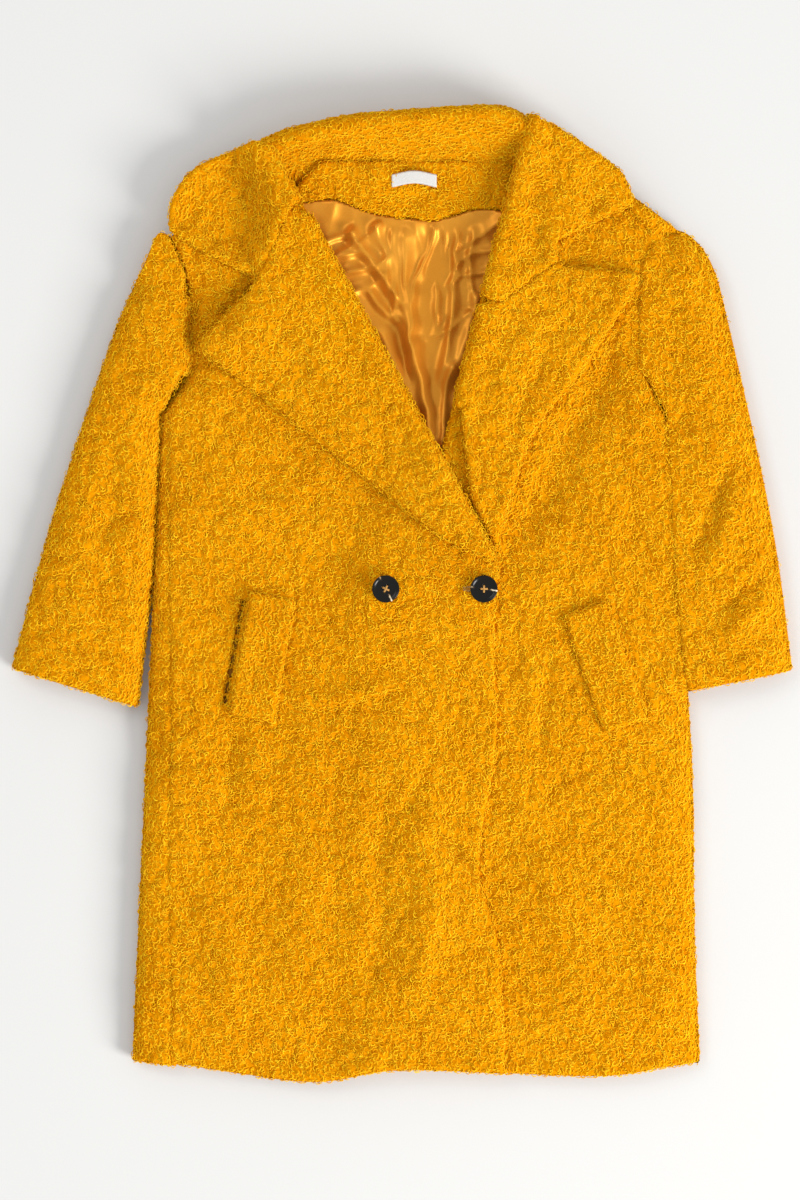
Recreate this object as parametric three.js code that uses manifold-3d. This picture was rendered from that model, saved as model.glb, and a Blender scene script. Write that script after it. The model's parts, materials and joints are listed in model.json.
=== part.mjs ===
// Double-breasted coat in boucle cloth, lying flat on its back, buttoned, with its lapels folded open.
// Units are millimetres. +X is towards the wearer's left, +Y towards the collar, +Z up from the floor.
// The origin is the middle of the coat's footprint, on the floor. Left and right are the wearer's.
import * as THREE from 'three';
import { mergeVertices } from 'three/addons/utils/BufferGeometryUtils.js';
import Module from 'manifold-3d';

// ---- Overall sizes of the coat as it lies ----
const bodyLength = 940; // nape seam to hem
const chestWidth = 528; // across the body at the underarm
const hemWidth = 580;
const underarmDrop = 266; // nape seam down to the underarm
const shoulderWidth = 500; // shoulder point to shoulder point
const shoulderDrop = 72; // nape seam down to the shoulder points
const neckWidth = 198;
const breakDrop = 419; // nape seam down to where the lapels stop rolling
const frontLap = 84; // the top front's edge beyond the centre line
const underLap = 45; // the under front's edge beyond the centre line
const hemLift = 10; // how far the hem rises at the side seams

// ---- Cloth ----
const clothT = 4; // boucle with its fusible backing
const facingT = 3;
const liningT = 1.2;
const layerGap = 0.4; // between cloths that lie on each other
const seamGap = 0.4; // between cloths that meet edge to edge
const bodySpace = 8.8; // room inside the body between the linings
const pocketSpace = 7.4; // room between a front and its lining
const foldGap = 0.6; // between the two parts of the front that folds back
const liningEase = 3; // how far the folding part's lining stays back from the fold

// ---- Sleeves ----
const sleeveDrop = 442; // shoulder point down to the cuff, along the body
const rightCuffReach = 164; // shoulder point out to the cuff's outer corner
const leftCuffReach = 134;
const rightCuffWidth = 129;
const leftCuffWidth = 104;
const rightCuffSlant = 40; // how much lower the cuff's inner corner lies
const leftCuffSlant = 21;
// The outer edge beyond the shoulder point, at the cap, the upper arm and the elbow.
const rightSleeveBow = [27, 58, 122];
const leftSleeveBow = [51, 70, 112];
const bowDrop = [40, 108, 300]; // how far below the shoulder point those three lie
const armholeGap = 0.8; // between a sleeve and the body

// ---- Lapels and collar ----
const lapelReach = 225; // the right lapel's tip beyond the centre line
const lapelTipDrop = 200;
const notchDrop = 131;
const rollSetback = 3; // where a turned lapel's flat part starts beside its roll
const leftRollSetback = 4;
const gorgeGap = 1.5;
const standHeight = 33; // the collar's ridge over the nape seam, along the floor
const standRise = 44; // the ridge above the floor
const collarT = 5;
const collarTilt = 4; // degrees that the ridge rises towards the wearer's left

// ---- Pockets ----
const weltLength = 125;
const weltWidth = 44;
const weltT = 3.6;
const mouthWidth = 15;
const rightWeltAngle = -10; // degrees from upright
const leftWeltAngle = 19;
const pocketDrop = 515; // nape seam down to the middle of a welt
const rightWeltInset = 115.1; // from the body's side, at the top of the bag, to the middle of the welt
const leftWeltInset = 77.1;
const bagTopLift = 4; // how far a bag reaches above its welt
const bagWallT = 0.8;
const bagLength = 190;
const bagWidth = 132;

// ---- Buttons ----
const buttonR = 14;
const buttonT = 4.6;
const buttonRimT = 1.1;
const buttonLift = 2.6; // between the cloth and the button, taken by the thread
const threadR = 2.2;
const stitchR = 0.8;
const holeR = 1.2;
const holeSpacing = 2.9; // from the button's centre
const buttonDrop = 445;
const frontButtonX = 70;
const showButtonX = -30;
const innerButtonR = 9;
const innerButtonT = 3.4;
const slitLength = 29;
const slitWidth = 5.6;

// ---- Label ----
const labelLength = 45;
const labelWidth = 12;
const labelT = 1;
const labelX = -1;
const labelDrop = 27;

// ---- Heights of the layers ----
const backLiningZ = clothT + layerGap;
const leftLiningZ = backLiningZ + liningT + bodySpace;
const leftPanelZ = leftLiningZ + liningT + pocketSpace;
const leftFacingZ = leftPanelZ - layerGap - facingT;
const leftTopZ = leftPanelZ + clothT;
const rightFacingZ = leftTopZ + layerGap;
const rightPanelZ = rightFacingZ + facingT + layerGap;
const rightTopZ = rightPanelZ + clothT;
const rightLiningZ = rightPanelZ - pocketSpace - liningT;
const sleeveHeight = leftTopZ; // level with the under front, so that the lapels lie clear of them

const wasm = await Module();
wasm.setup();

// ---- Helpers ----
function toManifold(geometry) {
  geometry.deleteAttribute('normal');
  geometry.deleteAttribute('uv');
  const merged = mergeVertices(geometry, 1e-4);
  const mesh = new wasm.Mesh({
    numProp: 3,
    vertProperties: new Float32Array(merged.attributes.position.array),
    triVerts: new Uint32Array(merged.index.array),
  });
  return new wasm.Manifold(mesh);
}

function toGeometry(solid) {
  const mesh = solid.getMesh();
  const geometry = new THREE.BufferGeometry();
  const positions = new Float32Array(mesh.vertProperties);
  geometry.setAttribute('position', new THREE.BufferAttribute(positions, 3));
  geometry.setIndex(new THREE.BufferAttribute(new Uint32Array(mesh.triVerts), 1));
  const flat = geometry.toNonIndexed();
  flat.computeVertexNormals();
  return flat;
}

// An outline is a list of corners; a smooth edge is a nested list that the edge passes through.
function shapeOf(outline) {
  const shape = new THREE.Shape();
  const [first, ...rest] = outline;
  shape.moveTo(first[0], first[1]);
  for (const item of rest) {
    if (Array.isArray(item[0])) shape.splineThru(item.map(([x, y]) => new THREE.Vector2(x, y)));
    else shape.lineTo(item[0], item[1]);
  }
  return shape;
}

function slab(outline, z0, z1, bends = 6) {
  const settings = { depth: z1 - z0, bevelEnabled: false, curveSegments: bends };
  const geometry = new THREE.ExtrudeGeometry(shapeOf(outline), settings);
  geometry.translate(0, 0, z0);
  return toManifold(geometry);
}

// A section drawn in Y and Z, run along X.
function bar(section, x0, x1, bends = 6) {
  const settings = { depth: x1 - x0, bevelEnabled: false, curveSegments: bends };
  const geometry = new THREE.ExtrudeGeometry(shapeOf(section), settings);
  geometry.rotateZ(Math.PI / 2);
  geometry.rotateY(Math.PI / 2);
  geometry.translate(x0, 0, 0);
  return toManifold(geometry);
}

function post(radius, x, y, z0, z1, sides = 20) {
  const geometry = new THREE.CylinderGeometry(radius, radius, z1 - z0, sides);
  geometry.rotateX(Math.PI / 2);
  geometry.translate(x, y, (z0 + z1) / 2);
  return toManifold(geometry);
}

function box(x0, x1, y0, y1, z0, z1) {
  const geometry = new THREE.BoxGeometry(x1 - x0, y1 - y0, z1 - z0);
  geometry.translate((x0 + x1) / 2, (y0 + y1) / 2, (z0 + z1) / 2);
  return toManifold(geometry);
}

// A rectangle turned about its middle: u runs across it and v along it.
function turned(cx, cy, degrees, u0, u1, v0, v1) {
  const a = THREE.MathUtils.degToRad(degrees);
  const cos = Math.cos(a);
  const sin = Math.sin(a);
  const place = (u, v) => [cx + u * cos - v * sin, cy + u * sin + v * cos];
  return [place(u0, v0), place(u1, v0), place(u1, v1), place(u0, v1)];
}

const group = new THREE.Group();

function add(name, solid, color, roughness = 0.9) {
  const material = new THREE.MeshStandardMaterial({ color, roughness, metalness: 0 });
  const mesh = new THREE.Mesh(toGeometry(solid), material);
  mesh.name = name;
  group.add(mesh);
}

const clothColor = 0xe09a12;
const facingColor = 0xd18e14;
const liningColor = 0xc08a3a;
const buttonColor = 0x14110f;
const threadColor = 0xb8862a;
const labelColor = 0xf4f1ea;

// ---- Lines that several pieces share ----
const hemY = -bodyLength;
const sideY = hemY + hemLift;
const halfChest = chestWidth / 2;
const halfHem = hemWidth / 2;
const halfShoulder = shoulderWidth / 2;
const halfNeck = neckWidth / 2;
const sideSlope = (halfHem - halfChest) / (-underarmDrop - sideY);
const sideAt = (y) => halfChest + sideSlope * (-underarmDrop - y);
const sideStart = 4; // how far the side seams start inside the chest's width
const seamSlope = (halfHem - halfChest + sideStart) / (-underarmDrop - sideY);
const seamAt = (y) => halfChest - sideStart + seamSlope * (-underarmDrop - y);
const bagTopY = -pocketDrop + weltLength / 2 + bagTopLift;
const rightWeltX = rightWeltInset - sideAt(bagTopY);
const leftWeltX = sideAt(bagTopY) - leftWeltInset;
const neckX = halfNeck + 16; // where the right roll line starts
const leftNeckX = halfNeck - 7;
const rollTopY = -52;
const leftRollTopY = -60;
const crossX = 26; // where the two roll lines meet
const crossY = -0.742 * breakDrop;
const armholeInset = 30; // how far the armhole curves in past the side
const seamX = halfChest - 8; // the right side seam, beside the wrapped back

// The right roll line, from the neck to the break.
const rollTop = new THREE.Vector2(-neckX, rollTopY);
const rollEnd = new THREE.Vector2(frontLap, -breakDrop);
const rollAlong = rollEnd.clone().sub(rollTop).normalize();
const rollSide = new THREE.Vector2(rollAlong.y, -rollAlong.x);
const onRoll = (t, away) => {
  const length = rollEnd.distanceTo(rollTop);
  return [
    rollTop.x + rollAlong.x * t * length + rollSide.x * away,
    rollTop.y + rollAlong.y * t * length + rollSide.y * away,
  ];
};

// The left roll line, from the neck to where the fronts cross.
const leftRollTop = new THREE.Vector2(leftNeckX, leftRollTopY);
const leftRollEnd = new THREE.Vector2(crossX, crossY);
const leftAlong = leftRollEnd.clone().sub(leftRollTop).normalize();
const leftRollX = (y) => leftNeckX + (leftAlong.x / leftAlong.y) * (y - leftRollTopY);

// The armhole, from the shoulder point to the underarm; side is 1 for left and -1 for right.
function armhole(side, inset) {
  const x = (value) => side * (value - inset);
  return [
    [x(halfShoulder), -shoulderDrop - 12],
    [x(halfShoulder - 14), -shoulderDrop - 46],
    [x(halfChest - armholeInset), -shoulderDrop - 90],
    [x(halfChest - armholeInset), -underarmDrop + 48],
    [x(halfChest - sideStart), -underarmDrop],
  ];
}

const shoulder = (side, inset) => [
  [side * (halfShoulder - 30 - inset), -shoulderDrop + 22 - inset],
  [side * (halfNeck + 31 - inset), -20 - inset],
];

const wide = 2000;

// ---- Back ----
function backHalf(side) {
  const outline = [
    [side * (seamGap / 2), 2],
    [side * halfNeck, -2],
    ...shoulder(side, 0).reverse(),
    ...armhole(side, 0),
    [side * halfHem, sideY],
    [[side * (halfHem * 0.66), hemY + 2], [side * (seamGap / 2), hemY + 3]],
  ];
  const plate = slab(outline, 0, clothT);
  const top = side < 0 ? rightTopZ : leftTopZ;
  const wall = slab(
    [
      [side * (halfChest - sideStart), -underarmDrop],
      [side * halfHem, sideY],
      [side * (halfHem - clothT), sideY],
      [side * (halfChest - sideStart - clothT), -underarmDrop],
    ],
    clothT - 0.01,
    top,
  );
  const [outer, inner] = shoulder(side, 0);
  const ledge = slab(
    [outer, inner, [inner[0], inner[1] - clothT], [outer[0], outer[1] - clothT]],
    clothT - 0.01,
    (side < 0 ? rightPanelZ : leftPanelZ) - layerGap,
  );
  let solid = plate.add(wall).add(ledge);
  if (side < 0) {
    const flange = slab(
      [
        [-seamX - seamGap, -underarmDrop - 8],
        [-halfChest + sideStart, -underarmDrop],
        [-halfHem, sideY],
        [-seamX - seamGap, sideY],
      ],
      rightPanelZ,
      rightTopZ,
    );
    solid = solid.add(flange);
  }
  return solid;
}
add('back_panel_right', backHalf(-1), clothColor);
add('back_panel_left', backHalf(1), clothColor);

// The lining stops short of the nape, where the facing of the back neck begins.
const facingEdge = [
  [-neckX, -48],
  [-neckX * 0.72, -46],
  [-neckX * 0.3, -61],
  [21, -66],
  [66, -55],
  [leftNeckX + 10, leftRollTopY],
];
const liningHem = hemY + 26;
const backLiningOutline = [
  [-halfNeck - 26, -44],
  facingEdge,
  [halfShoulder - 34, -shoulderDrop - 4],
  ...armhole(1, 5),
  [sideAt(liningHem) - clothT - 2, liningHem],
  [-sideAt(liningHem) + clothT + 2, liningHem],
  ...armhole(-1, 5).reverse(),
  [-halfShoulder + 34, -shoulderDrop - 4],
];
add('back_lining', slab(backLiningOutline, backLiningZ, backLiningZ + liningT, 4), liningColor, 0.45);

const neckFacingOutline = [
  [-halfNeck - 26, -44 + seamGap * 2],
  facingEdge.map(([x, y]) => [x, y + seamGap * 2]),
  [halfNeck + 20, -34],
  [halfNeck - 4, -7],
  [-halfNeck + 4, -7],
  [-halfNeck - 18, -29],
];
const neckFacing = slab(neckFacingOutline, backLiningZ, backLiningZ + facingT, 4);
add('back_neck_facing', neckFacing, facingColor);

const labelOutline = [
  [labelX - labelLength / 2, -labelDrop - labelWidth / 2],
  [[labelX, -labelDrop - labelWidth / 2 + 4], [labelX + labelLength / 2, -labelDrop - labelWidth / 2]],
  [labelX + labelLength / 2, -labelDrop + labelWidth / 2],
  [[labelX, -labelDrop + labelWidth / 2 + 4], [labelX - labelLength / 2, -labelDrop + labelWidth / 2]],
];
const labelZ = backLiningZ + facingT + layerGap;
add('neck_label', slab(labelOutline, labelZ, labelZ + labelT), labelColor, 0.5);

// ---- Pockets ----
const rightWelt = (u0, u1, v0, v1) =>
  turned(rightWeltX, -pocketDrop, rightWeltAngle, u0, u1, v0, v1);
const leftWelt = (u0, u1, v0, v1) =>
  turned(leftWeltX, -pocketDrop - 10, leftWeltAngle, u0, u1, v0, v1);
const halfWelt = weltWidth / 2;
const halfMouth = weltLength / 2 - 4;
const rightMouth = rightWelt(-halfWelt - mouthWidth, -halfWelt - 1, -halfMouth, halfMouth);
const leftMouth = leftWelt(halfWelt + 1, halfWelt + mouthWidth, -halfMouth, halfMouth);

// A bag is a tray with its top layer, which the mouth opens, lying over it.
function addPocketBag(prefix, mouth, x0, z0) {
  const z1 = z0 + pocketSpace - 2 * layerGap;
  const y1 = bagTopY;
  const y0 = y1 - bagLength;
  const t = bagWallT;
  const outer = box(x0, x0 + bagWidth, y0, y1, z0, z1 - t - layerGap / 2);
  const room = box(x0 + t, x0 + bagWidth - t, y0 + t, y1 - t, z0 + t, z1 + 1);
  add(`${prefix}_pocket_bag`, outer.subtract(room), liningColor, 0.6);
  const top = box(x0, x0 + bagWidth, y0, y1, z1 - t, z1);
  add(`${prefix}_pocket_bag_top`, top.subtract(slab(mouth, z1 - 2 * t, z1 + 2)), liningColor, 0.6);
}
addPocketBag('right', rightMouth, rightWeltX - bagWidth / 2 - 14, rightLiningZ + liningT + layerGap);
addPocketBag('left', leftMouth, leftWeltX - bagWidth / 2 + 2, leftLiningZ + liningT + layerGap);
const rightWeltSolid = slab(
  rightWelt(-halfWelt, halfWelt, -weltLength / 2, weltLength / 2),
  rightTopZ + layerGap,
  rightTopZ + layerGap + weltT,
);
add('right_pocket_welt', rightWeltSolid, clothColor);
const leftWeltSolid = slab(
  leftWelt(-halfWelt, halfWelt, -weltLength / 2, weltLength / 2),
  leftTopZ + layerGap,
  leftTopZ + layerGap + weltT,
);
add('left_pocket_welt', leftWeltSolid, clothColor);

// ---- Top front, on the wearer's right ----
// It folds back from a line that runs from below the button to the hem.
const foldTop = new THREE.Vector2(frontLap, -buttonDrop - 58);
const foldEnd = new THREE.Vector2(-170, hemY - 6);
const foldAlong = foldEnd.clone().sub(foldTop).normalize();
const foldSide = new THREE.Vector2(-foldAlong.y, foldAlong.x);
function foldRegion(away, reach) {
  const at = (base, along, side) => [
    base.x + foldAlong.x * along + foldSide.x * side,
    base.y + foldAlong.y * along + foldSide.y * side,
  ];
  return [
    at(foldTop, -wide, away),
    at(foldEnd, wide, away),
    at(foldEnd, wide, reach),
    at(foldTop, -wide, reach),
  ];
}
const foldedPart = slab(foldRegion(foldGap / 2, wide), -10, 100);
const stillPart = slab(foldRegion(-foldGap / 2, -wide), -10, 100);

const rightFrontOutline = [
  onRoll(0, 0),
  onRoll(1, 0),
  [
    [frontLap - 4, -buttonDrop - 63],
    [frontLap - 2, -buttonDrop - 163],
    [frontLap - 20, -buttonDrop - 283],
    [frontLap, -buttonDrop - 363],
    [frontLap + 8, hemY - 1],
  ],
  [[-20, hemY + 2], [-102, hemY - 11], [-195, hemY], [-seamX, sideY + 2]],
  ...armhole(-1, armholeGap).reverse(),
  ...shoulder(-1, 3),
];
const seamSide = box(-seamX, wide, -wide, -underarmDrop + seamGap, -10, 100);
const aboveSide = box(-wide, wide, -underarmDrop + seamGap, wide, -10, 100);
const insideSeam = seamSide.add(aboveSide);
const buttonSlit = box(
  frontButtonX - slitLength + 6,
  frontButtonX + 6,
  -buttonDrop - slitWidth / 2,
  -buttonDrop + slitWidth / 2,
  rightFacingZ - 5,
  rightTopZ + 5,
);
const rightFront = slab(rightFrontOutline, rightPanelZ, rightTopZ)
  .intersect(insideSeam)
  .subtract(slab(rightMouth, rightPanelZ - 5, rightTopZ + 5))
  .subtract(buttonSlit);
add('right_front_panel', rightFront.intersect(stillPart), clothColor);
add('right_front_skirt', rightFront.intersect(foldedPart), clothColor);

// The facing's inner edge is also where the lining starts.
const rightFacingInner = [
  [-underLap - 6, liningHem],
  [-underLap - 6, -breakDrop - 6],
  [-101, -335],
  [-160, -205],
  [-165, -65],
];
const rightFacingOutline = [
  onRoll(0.02, 2),
  onRoll(0.99, 2),
  [
    [frontLap - 6, -buttonDrop - 63],
    [frontLap - 4, -buttonDrop - 163],
    [frontLap - 22, -buttonDrop - 283],
    [frontLap - 2, -buttonDrop - 363],
    [frontLap + 4, hemY + 8],
  ],
  [-underLap - 6, hemY + 8],
  ...rightFacingInner.slice(1),
  [-halfNeck - 34, -34],
];
const rightFacing = slab(rightFacingOutline, rightFacingZ, rightFacingZ + facingT).subtract(buttonSlit);
add('right_front_facing', rightFacing.intersect(stillPart), facingColor);
add('right_skirt_facing', rightFacing.intersect(foldedPart), facingColor);

const rightLiningOutline = [
  ...rightFacingInner.map(([x, y]) => [x - seamGap, y]),
  [-halfShoulder + 34, -shoulderDrop - 2],
  ...armhole(-1, 5),
  [-sideAt(liningHem) + clothT + 2, liningHem],
];
const rightLining = slab(rightLiningOutline, rightLiningZ, rightLiningZ + liningT);
add('right_front_lining', rightLining.intersect(stillPart), liningColor, 0.45);
const liningFolded = slab(foldRegion(foldGap / 2 + liningEase, wide), -10, 100);
add('right_skirt_lining', rightLining.intersect(liningFolded), liningColor, 0.45);

// ---- Under front, on the wearer's left ----
const leftRollPoint = (y, away) => [leftRollX(y) + away, y];
const leftFrontOutline = [
  leftRollPoint(leftRollTopY, 0),
  [crossX, crossY],
  [-underLap, -breakDrop],
  [-underLap, hemY + 6],
  [[92, hemY - 2], [205, hemY - 4], [sideAt(sideY) - clothT - seamGap, sideY + 2]],
  [halfChest - sideStart - clothT - seamGap, -underarmDrop - 2],
  ...armhole(1, armholeGap).reverse().slice(1),
  ...shoulder(1, 3),
  [halfNeck + 6, -33],
];
const innerSlit = box(
  showButtonX - 8,
  showButtonX + slitLength - 8,
  -buttonDrop - slitWidth / 2,
  -buttonDrop + slitWidth / 2,
  leftFacingZ - 5,
  leftTopZ + 5,
);
const leftFront = slab(leftFrontOutline, leftPanelZ, leftTopZ)
  .subtract(slab(leftMouth, leftPanelZ - 5, leftTopZ + 5))
  .subtract(innerSlit);
add('left_front_panel', leftFront, clothColor);

const leftFacingInner = [
  [80, liningHem],
  [80, -breakDrop - 3],
  [121, -332],
  [150, -202],
  [150, -68],
];
const leftFacingOutline = [
  leftRollPoint(leftRollTopY - 6, -2),
  [crossX - 2, crossY - 2],
  [-underLap + 2, -breakDrop - 2],
  [-underLap + 2, hemY + 12],
  [80, hemY + 12],
  ...leftFacingInner.slice(1),
  [halfNeck + 26, -34],
  [halfNeck + 4, -40],
];
const leftFacing = slab(leftFacingOutline, leftFacingZ, leftFacingZ + facingT).subtract(innerSlit);
add('left_front_facing', leftFacing, facingColor);

const leftLiningOutline = [
  ...leftFacingInner.map(([x, y]) => [x + seamGap, y]),
  [halfShoulder - 34, -shoulderDrop - 2],
  ...armhole(1, 5),
  [sideAt(liningHem) - clothT - 2, liningHem],
];
const leftLining = slab(leftLiningOutline, leftLiningZ, leftLiningZ + liningT);
add('left_front_lining', leftLining, liningColor, 0.45);

// ---- Lapels: the turned front below, its facing on top ----
const rightNotch = [-161, -notchDrop];
const rightGorge = [
  [-128, -54],
  [-139, -84],
  [-150, -109],
];
const rightLapelOutline = [
  onRoll(0.03, rollSetback),
  onRoll(0.985, rollSetback),
  [
    [31, -breakDrop + 24],
    [-49, -334],
    [-139, -264],
    [-184, -229],
    [-lapelReach, -lapelTipDrop],
  ],
  [[-204, -175], [rightNotch[0], rightNotch[1] - gorgeGap]],
  ...rightGorge.map(([x, y]) => [x + gorgeGap, y]).reverse(),
];
const rightLapelZ = rightTopZ + layerGap;
const rightLapelTopZ = rightLapelZ + clothT + layerGap;
add('right_lapel', slab(rightLapelOutline, rightLapelZ, rightLapelZ + clothT), clothColor);
const rightLapelFacing = slab(rightLapelOutline, rightLapelTopZ, rightLapelTopZ + clothT);
add('right_lapel_facing', rightLapelFacing, clothColor);

const leftLapelOutline = [
  leftRollPoint(-156, leftRollSetback),
  [91, -154],
  [105, -142],
  [124, -128],
  [146, -113],
  [153, -116],
  [227, -122],
  [
    [225, -138],
    [193, -187],
    [159, -237],
    [120, -287],
    [89, -383],
    [86, -413],
  ],
  [57, -355],
  [47, -262],
  leftRollPoint(-240, leftRollSetback),
];
const leftLapelZ = leftTopZ + layerGap;
const leftLapelTopZ = leftLapelZ + clothT + layerGap;
add('left_lapel', slab(leftLapelOutline, leftLapelZ, leftLapelZ + clothT), clothColor);
const leftLapelFacing = slab(leftLapelOutline, leftLapelTopZ, leftLapelTopZ + clothT);
add('left_lapel_facing', leftLapelFacing, clothColor);

// ---- Collar: two leaves that turn with the lapels, and the part behind the neck ----
const rightLeafOutline = [
  onRoll(-0.01, rollSetback + 4),
  ...rightGorge.map(([x, y]) => [x - gorgeGap, y]),
  rightNotch,
  [[-211, -107], [-halfShoulder - 4, -shoulderDrop - 8]],
  [[-251, -47], [-225, -11], [-163, 14]],
  onRoll(-0.17, rollSetback + 2),
];
const underCollar = slab(rightLeafOutline, rightLapelZ, rightLapelZ + clothT);
add('right_under_collar', underCollar, facingColor);
const rightTopCollar = slab(rightLeafOutline, rightLapelTopZ, rightLapelTopZ + clothT);
add('right_top_collar', rightTopCollar, clothColor);

const leftLeafOutline = [
  leftRollPoint(-148, leftRollSetback),
  [90, -149],
  [104, -138],
  [123, -124],
  [146, -108],
  [148, -91],
  [[194, -68], [225, -54]],
  [[220, -32], [205, -11], [143, 30]],
  leftRollPoint(38, leftRollSetback),
];
add('left_under_collar', slab(leftLeafOutline, leftLapelZ, leftLapelZ + clothT), facingColor);
const leftTopCollar = slab(leftLeafOutline, leftLapelTopZ, leftLapelTopZ + clothT);
add('left_top_collar', leftTopCollar, clothColor);

const standSection = [
  [3, clothT + layerGap],
  [3 + collarT, clothT + layerGap],
  [standHeight + 4, standRise - 6],
  [[standHeight + 2, standRise - 3], [standHeight - 2, standRise - 3]],
  [0, 12],
];
const collarHalf = halfNeck + 14;
const tilted = (solid) => solid.rotate([0, 0, collarTilt]);
const stand = bar(standSection, -collarHalf - 26, collarHalf);
add('collar_stand', tilted(stand), facingColor);
const fallSection = [
  [8, 0],
  [standHeight + 8, 0],
  [[standHeight + 14, 3], [standHeight + 15, 10]],
  [standHeight + 14, standRise - 6],
  [[standHeight + 9, standRise + 1], [standHeight, standRise + 3]],
  [standHeight, standRise - 0.4],
  [[standHeight + 6, standRise - 2], [standHeight + 9, standRise - 8]],
  [standHeight + 10, 8],
  [standHeight + 6, clothT],
  [8, clothT],
];
add('collar_fall', tilted(bar(fallSection, -collarHalf - 26, collarHalf)), clothColor);

// ---- Sleeves ----
function sleeve(side, reach, cuffWidth, cuffSlant, bow) {
  const x = (value) => side * value;
  const cuffY = -shoulderDrop - 12 - sleeveDrop;
  const mouth = armhole(side, -armholeGap);
  const cuffOuter = halfShoulder + reach;
  const outer = [
    mouth[0],
    [x(halfShoulder + bow[0] * 0.5), -shoulderDrop - 10],
    ...bow.map((out, i) => [x(halfShoulder + out), -shoulderDrop - bowDrop[i]]),
    [x(cuffOuter), cuffY],
  ];
  const cuffInner = [x(cuffOuter - cuffWidth), cuffY - cuffSlant];
  const elbowY = -shoulderDrop - 345;
  const inner = [mouth[4], [x(seamAt(elbowY) + armholeGap), elbowY], cuffInner];
  const outline = [...mouth.slice().reverse(), outer.slice(1), ...[cuffInner, inner[1]]];
  return { mouth, outer, inner, outline };
}

// The space inside a sleeve's wall, run out past the cuff and into the armhole.
function sleeveRoom(side, parts, t) {
  const shift = ([px, py], dx, dy) => [px + side * dx, py + dy];
  const { outer, inner } = parts;
  const last = outer[outer.length - 1];
  return [
    shift(inner[0], -90, t - 8),
    shift(inner[0], t / 2, t - 8),
    shift(inner[1], t, 0),
    shift(inner[2], t, 3),
    shift(inner[2], t - 2, -40),
    shift(last, -t + 3, -40),
    [
      shift(last, -t, 0),
      shift(outer[4], -t, 0),
      shift(outer[3], -t, -2),
      shift(outer[2], -t, -t * 0.6),
      shift(outer[1], -t * 0.6, -t),
      shift(outer[0], -2, -t - 1),
    ],
    shift(outer[0], -110, -t - 1),
  ];
}

function addSleeve(prefix, side, reach, cuffWidth, cuffSlant, bow) {
  const parts = sleeve(side, reach, cuffWidth, cuffSlant, bow);
  const whole = slab(parts.outline, 0, sleeveHeight);
  const room = slab(sleeveRoom(side, parts, clothT), clothT, sleeveHeight - clothT);
  const shell = whole.subtract(room);
  const middle = sleeveHeight / 2;
  const lower = box(-wide, wide, -wide, wide, -10, middle - seamGap / 2);
  const upper = box(-wide, wide, -wide, wide, middle + seamGap / 2, 100);
  add(`${prefix}_under_sleeve`, shell.intersect(lower), clothColor);
  add(`${prefix}_top_sleeve`, shell.intersect(upper), clothColor);
  const gap = clothT + layerGap;
  const liningOuter = slab(sleeveRoom(side, parts, gap), gap, sleeveHeight - gap);
  const inside = gap + liningT;
  const liningRoom = slab(sleeveRoom(side, parts, inside), inside, sleeveHeight - inside);
  const hemmed = box(-wide, wide, -shoulderDrop - sleeveDrop + 2, wide, 0, 100);
  const lining = liningOuter.subtract(liningRoom).intersect(whole).intersect(hemmed);
  add(`${prefix}_sleeve_lining`, lining, liningColor, 0.45);
}
addSleeve('right', -1, rightCuffReach, rightCuffWidth, rightCuffSlant, rightSleeveBow);
addSleeve('left', 1, leftCuffReach, leftCuffWidth, leftCuffSlant, leftSleeveBow);

// ---- Buttons ----
function buttonDisc(radius, thickness, x, z0) {
  const rim = buttonRimT;
  const profile = [
    new THREE.Vector2(0, 0),
    new THREE.Vector2(radius - 2, 0),
    new THREE.Vector2(radius, thickness * 0.4),
    new THREE.Vector2(radius, thickness * 0.75),
    new THREE.Vector2(radius - 1, thickness),
    new THREE.Vector2(radius - 2.4, thickness),
    new THREE.Vector2(radius - 4, thickness - rim),
    new THREE.Vector2(0, thickness - rim),
  ];
  const geometry = new THREE.LatheGeometry(profile, 32);
  geometry.rotateX(Math.PI / 2);
  geometry.translate(x, -buttonDrop, z0);
  let disc = toManifold(geometry);
  for (const [sx, sy] of [[1, 1], [1, -1], [-1, 1], [-1, -1]]) {
    const holeX = x + sx * holeSpacing;
    const holeY = -buttonDrop + sy * holeSpacing;
    disc = disc.subtract(post(holeR, holeX, holeY, z0 - 1, z0 + thickness + 1, 12));
  }
  return disc;
}

function buttonThread(thickness, x, clothTop, z0) {
  const top = z0 + thickness - buttonRimT;
  const y = -buttonDrop;
  const s = holeSpacing;
  let thread = post(threadR, x, y, clothTop, z0 - 1.1, 16);
  const root = s + stitchR;
  thread = thread.add(box(x - root, x + root, y - root, y + root, z0 - 1.3, z0 - 0.4));
  for (const [sx, sy] of [[1, 1], [1, -1], [-1, 1], [-1, -1]]) {
    thread = thread.add(post(stitchR, x + sx * s, y + sy * s, z0 - 0.6, top + 1, 10));
  }
  thread = thread.add(box(x - root, x + root, y + s - stitchR, y + s + stitchR, top + 0.3, top + 1.3));
  return thread.add(box(x - root, x + root, y - s - stitchR, y - s + stitchR, top + 0.3, top + 1.3));
}
const buttonZ = rightTopZ + buttonLift;
add('front_button', buttonDisc(buttonR, buttonT, frontButtonX, buttonZ), buttonColor, 0.2);
const frontThread = buttonThread(buttonT, frontButtonX, leftTopZ + layerGap, buttonZ);
add('front_button_thread', frontThread, threadColor, 0.8);
add('show_button', buttonDisc(buttonR, buttonT, showButtonX, buttonZ), buttonColor, 0.2);
const showThread = buttonThread(buttonT, showButtonX, rightTopZ + layerGap / 2, buttonZ);
add('show_button_thread', showThread, threadColor, 0.8);
const innerZ = leftFacingZ - 1.4 - innerButtonT;
const innerDisc = buttonDisc(innerButtonR, innerButtonT, 0, 0).rotate([180, 0, 0]);
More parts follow.
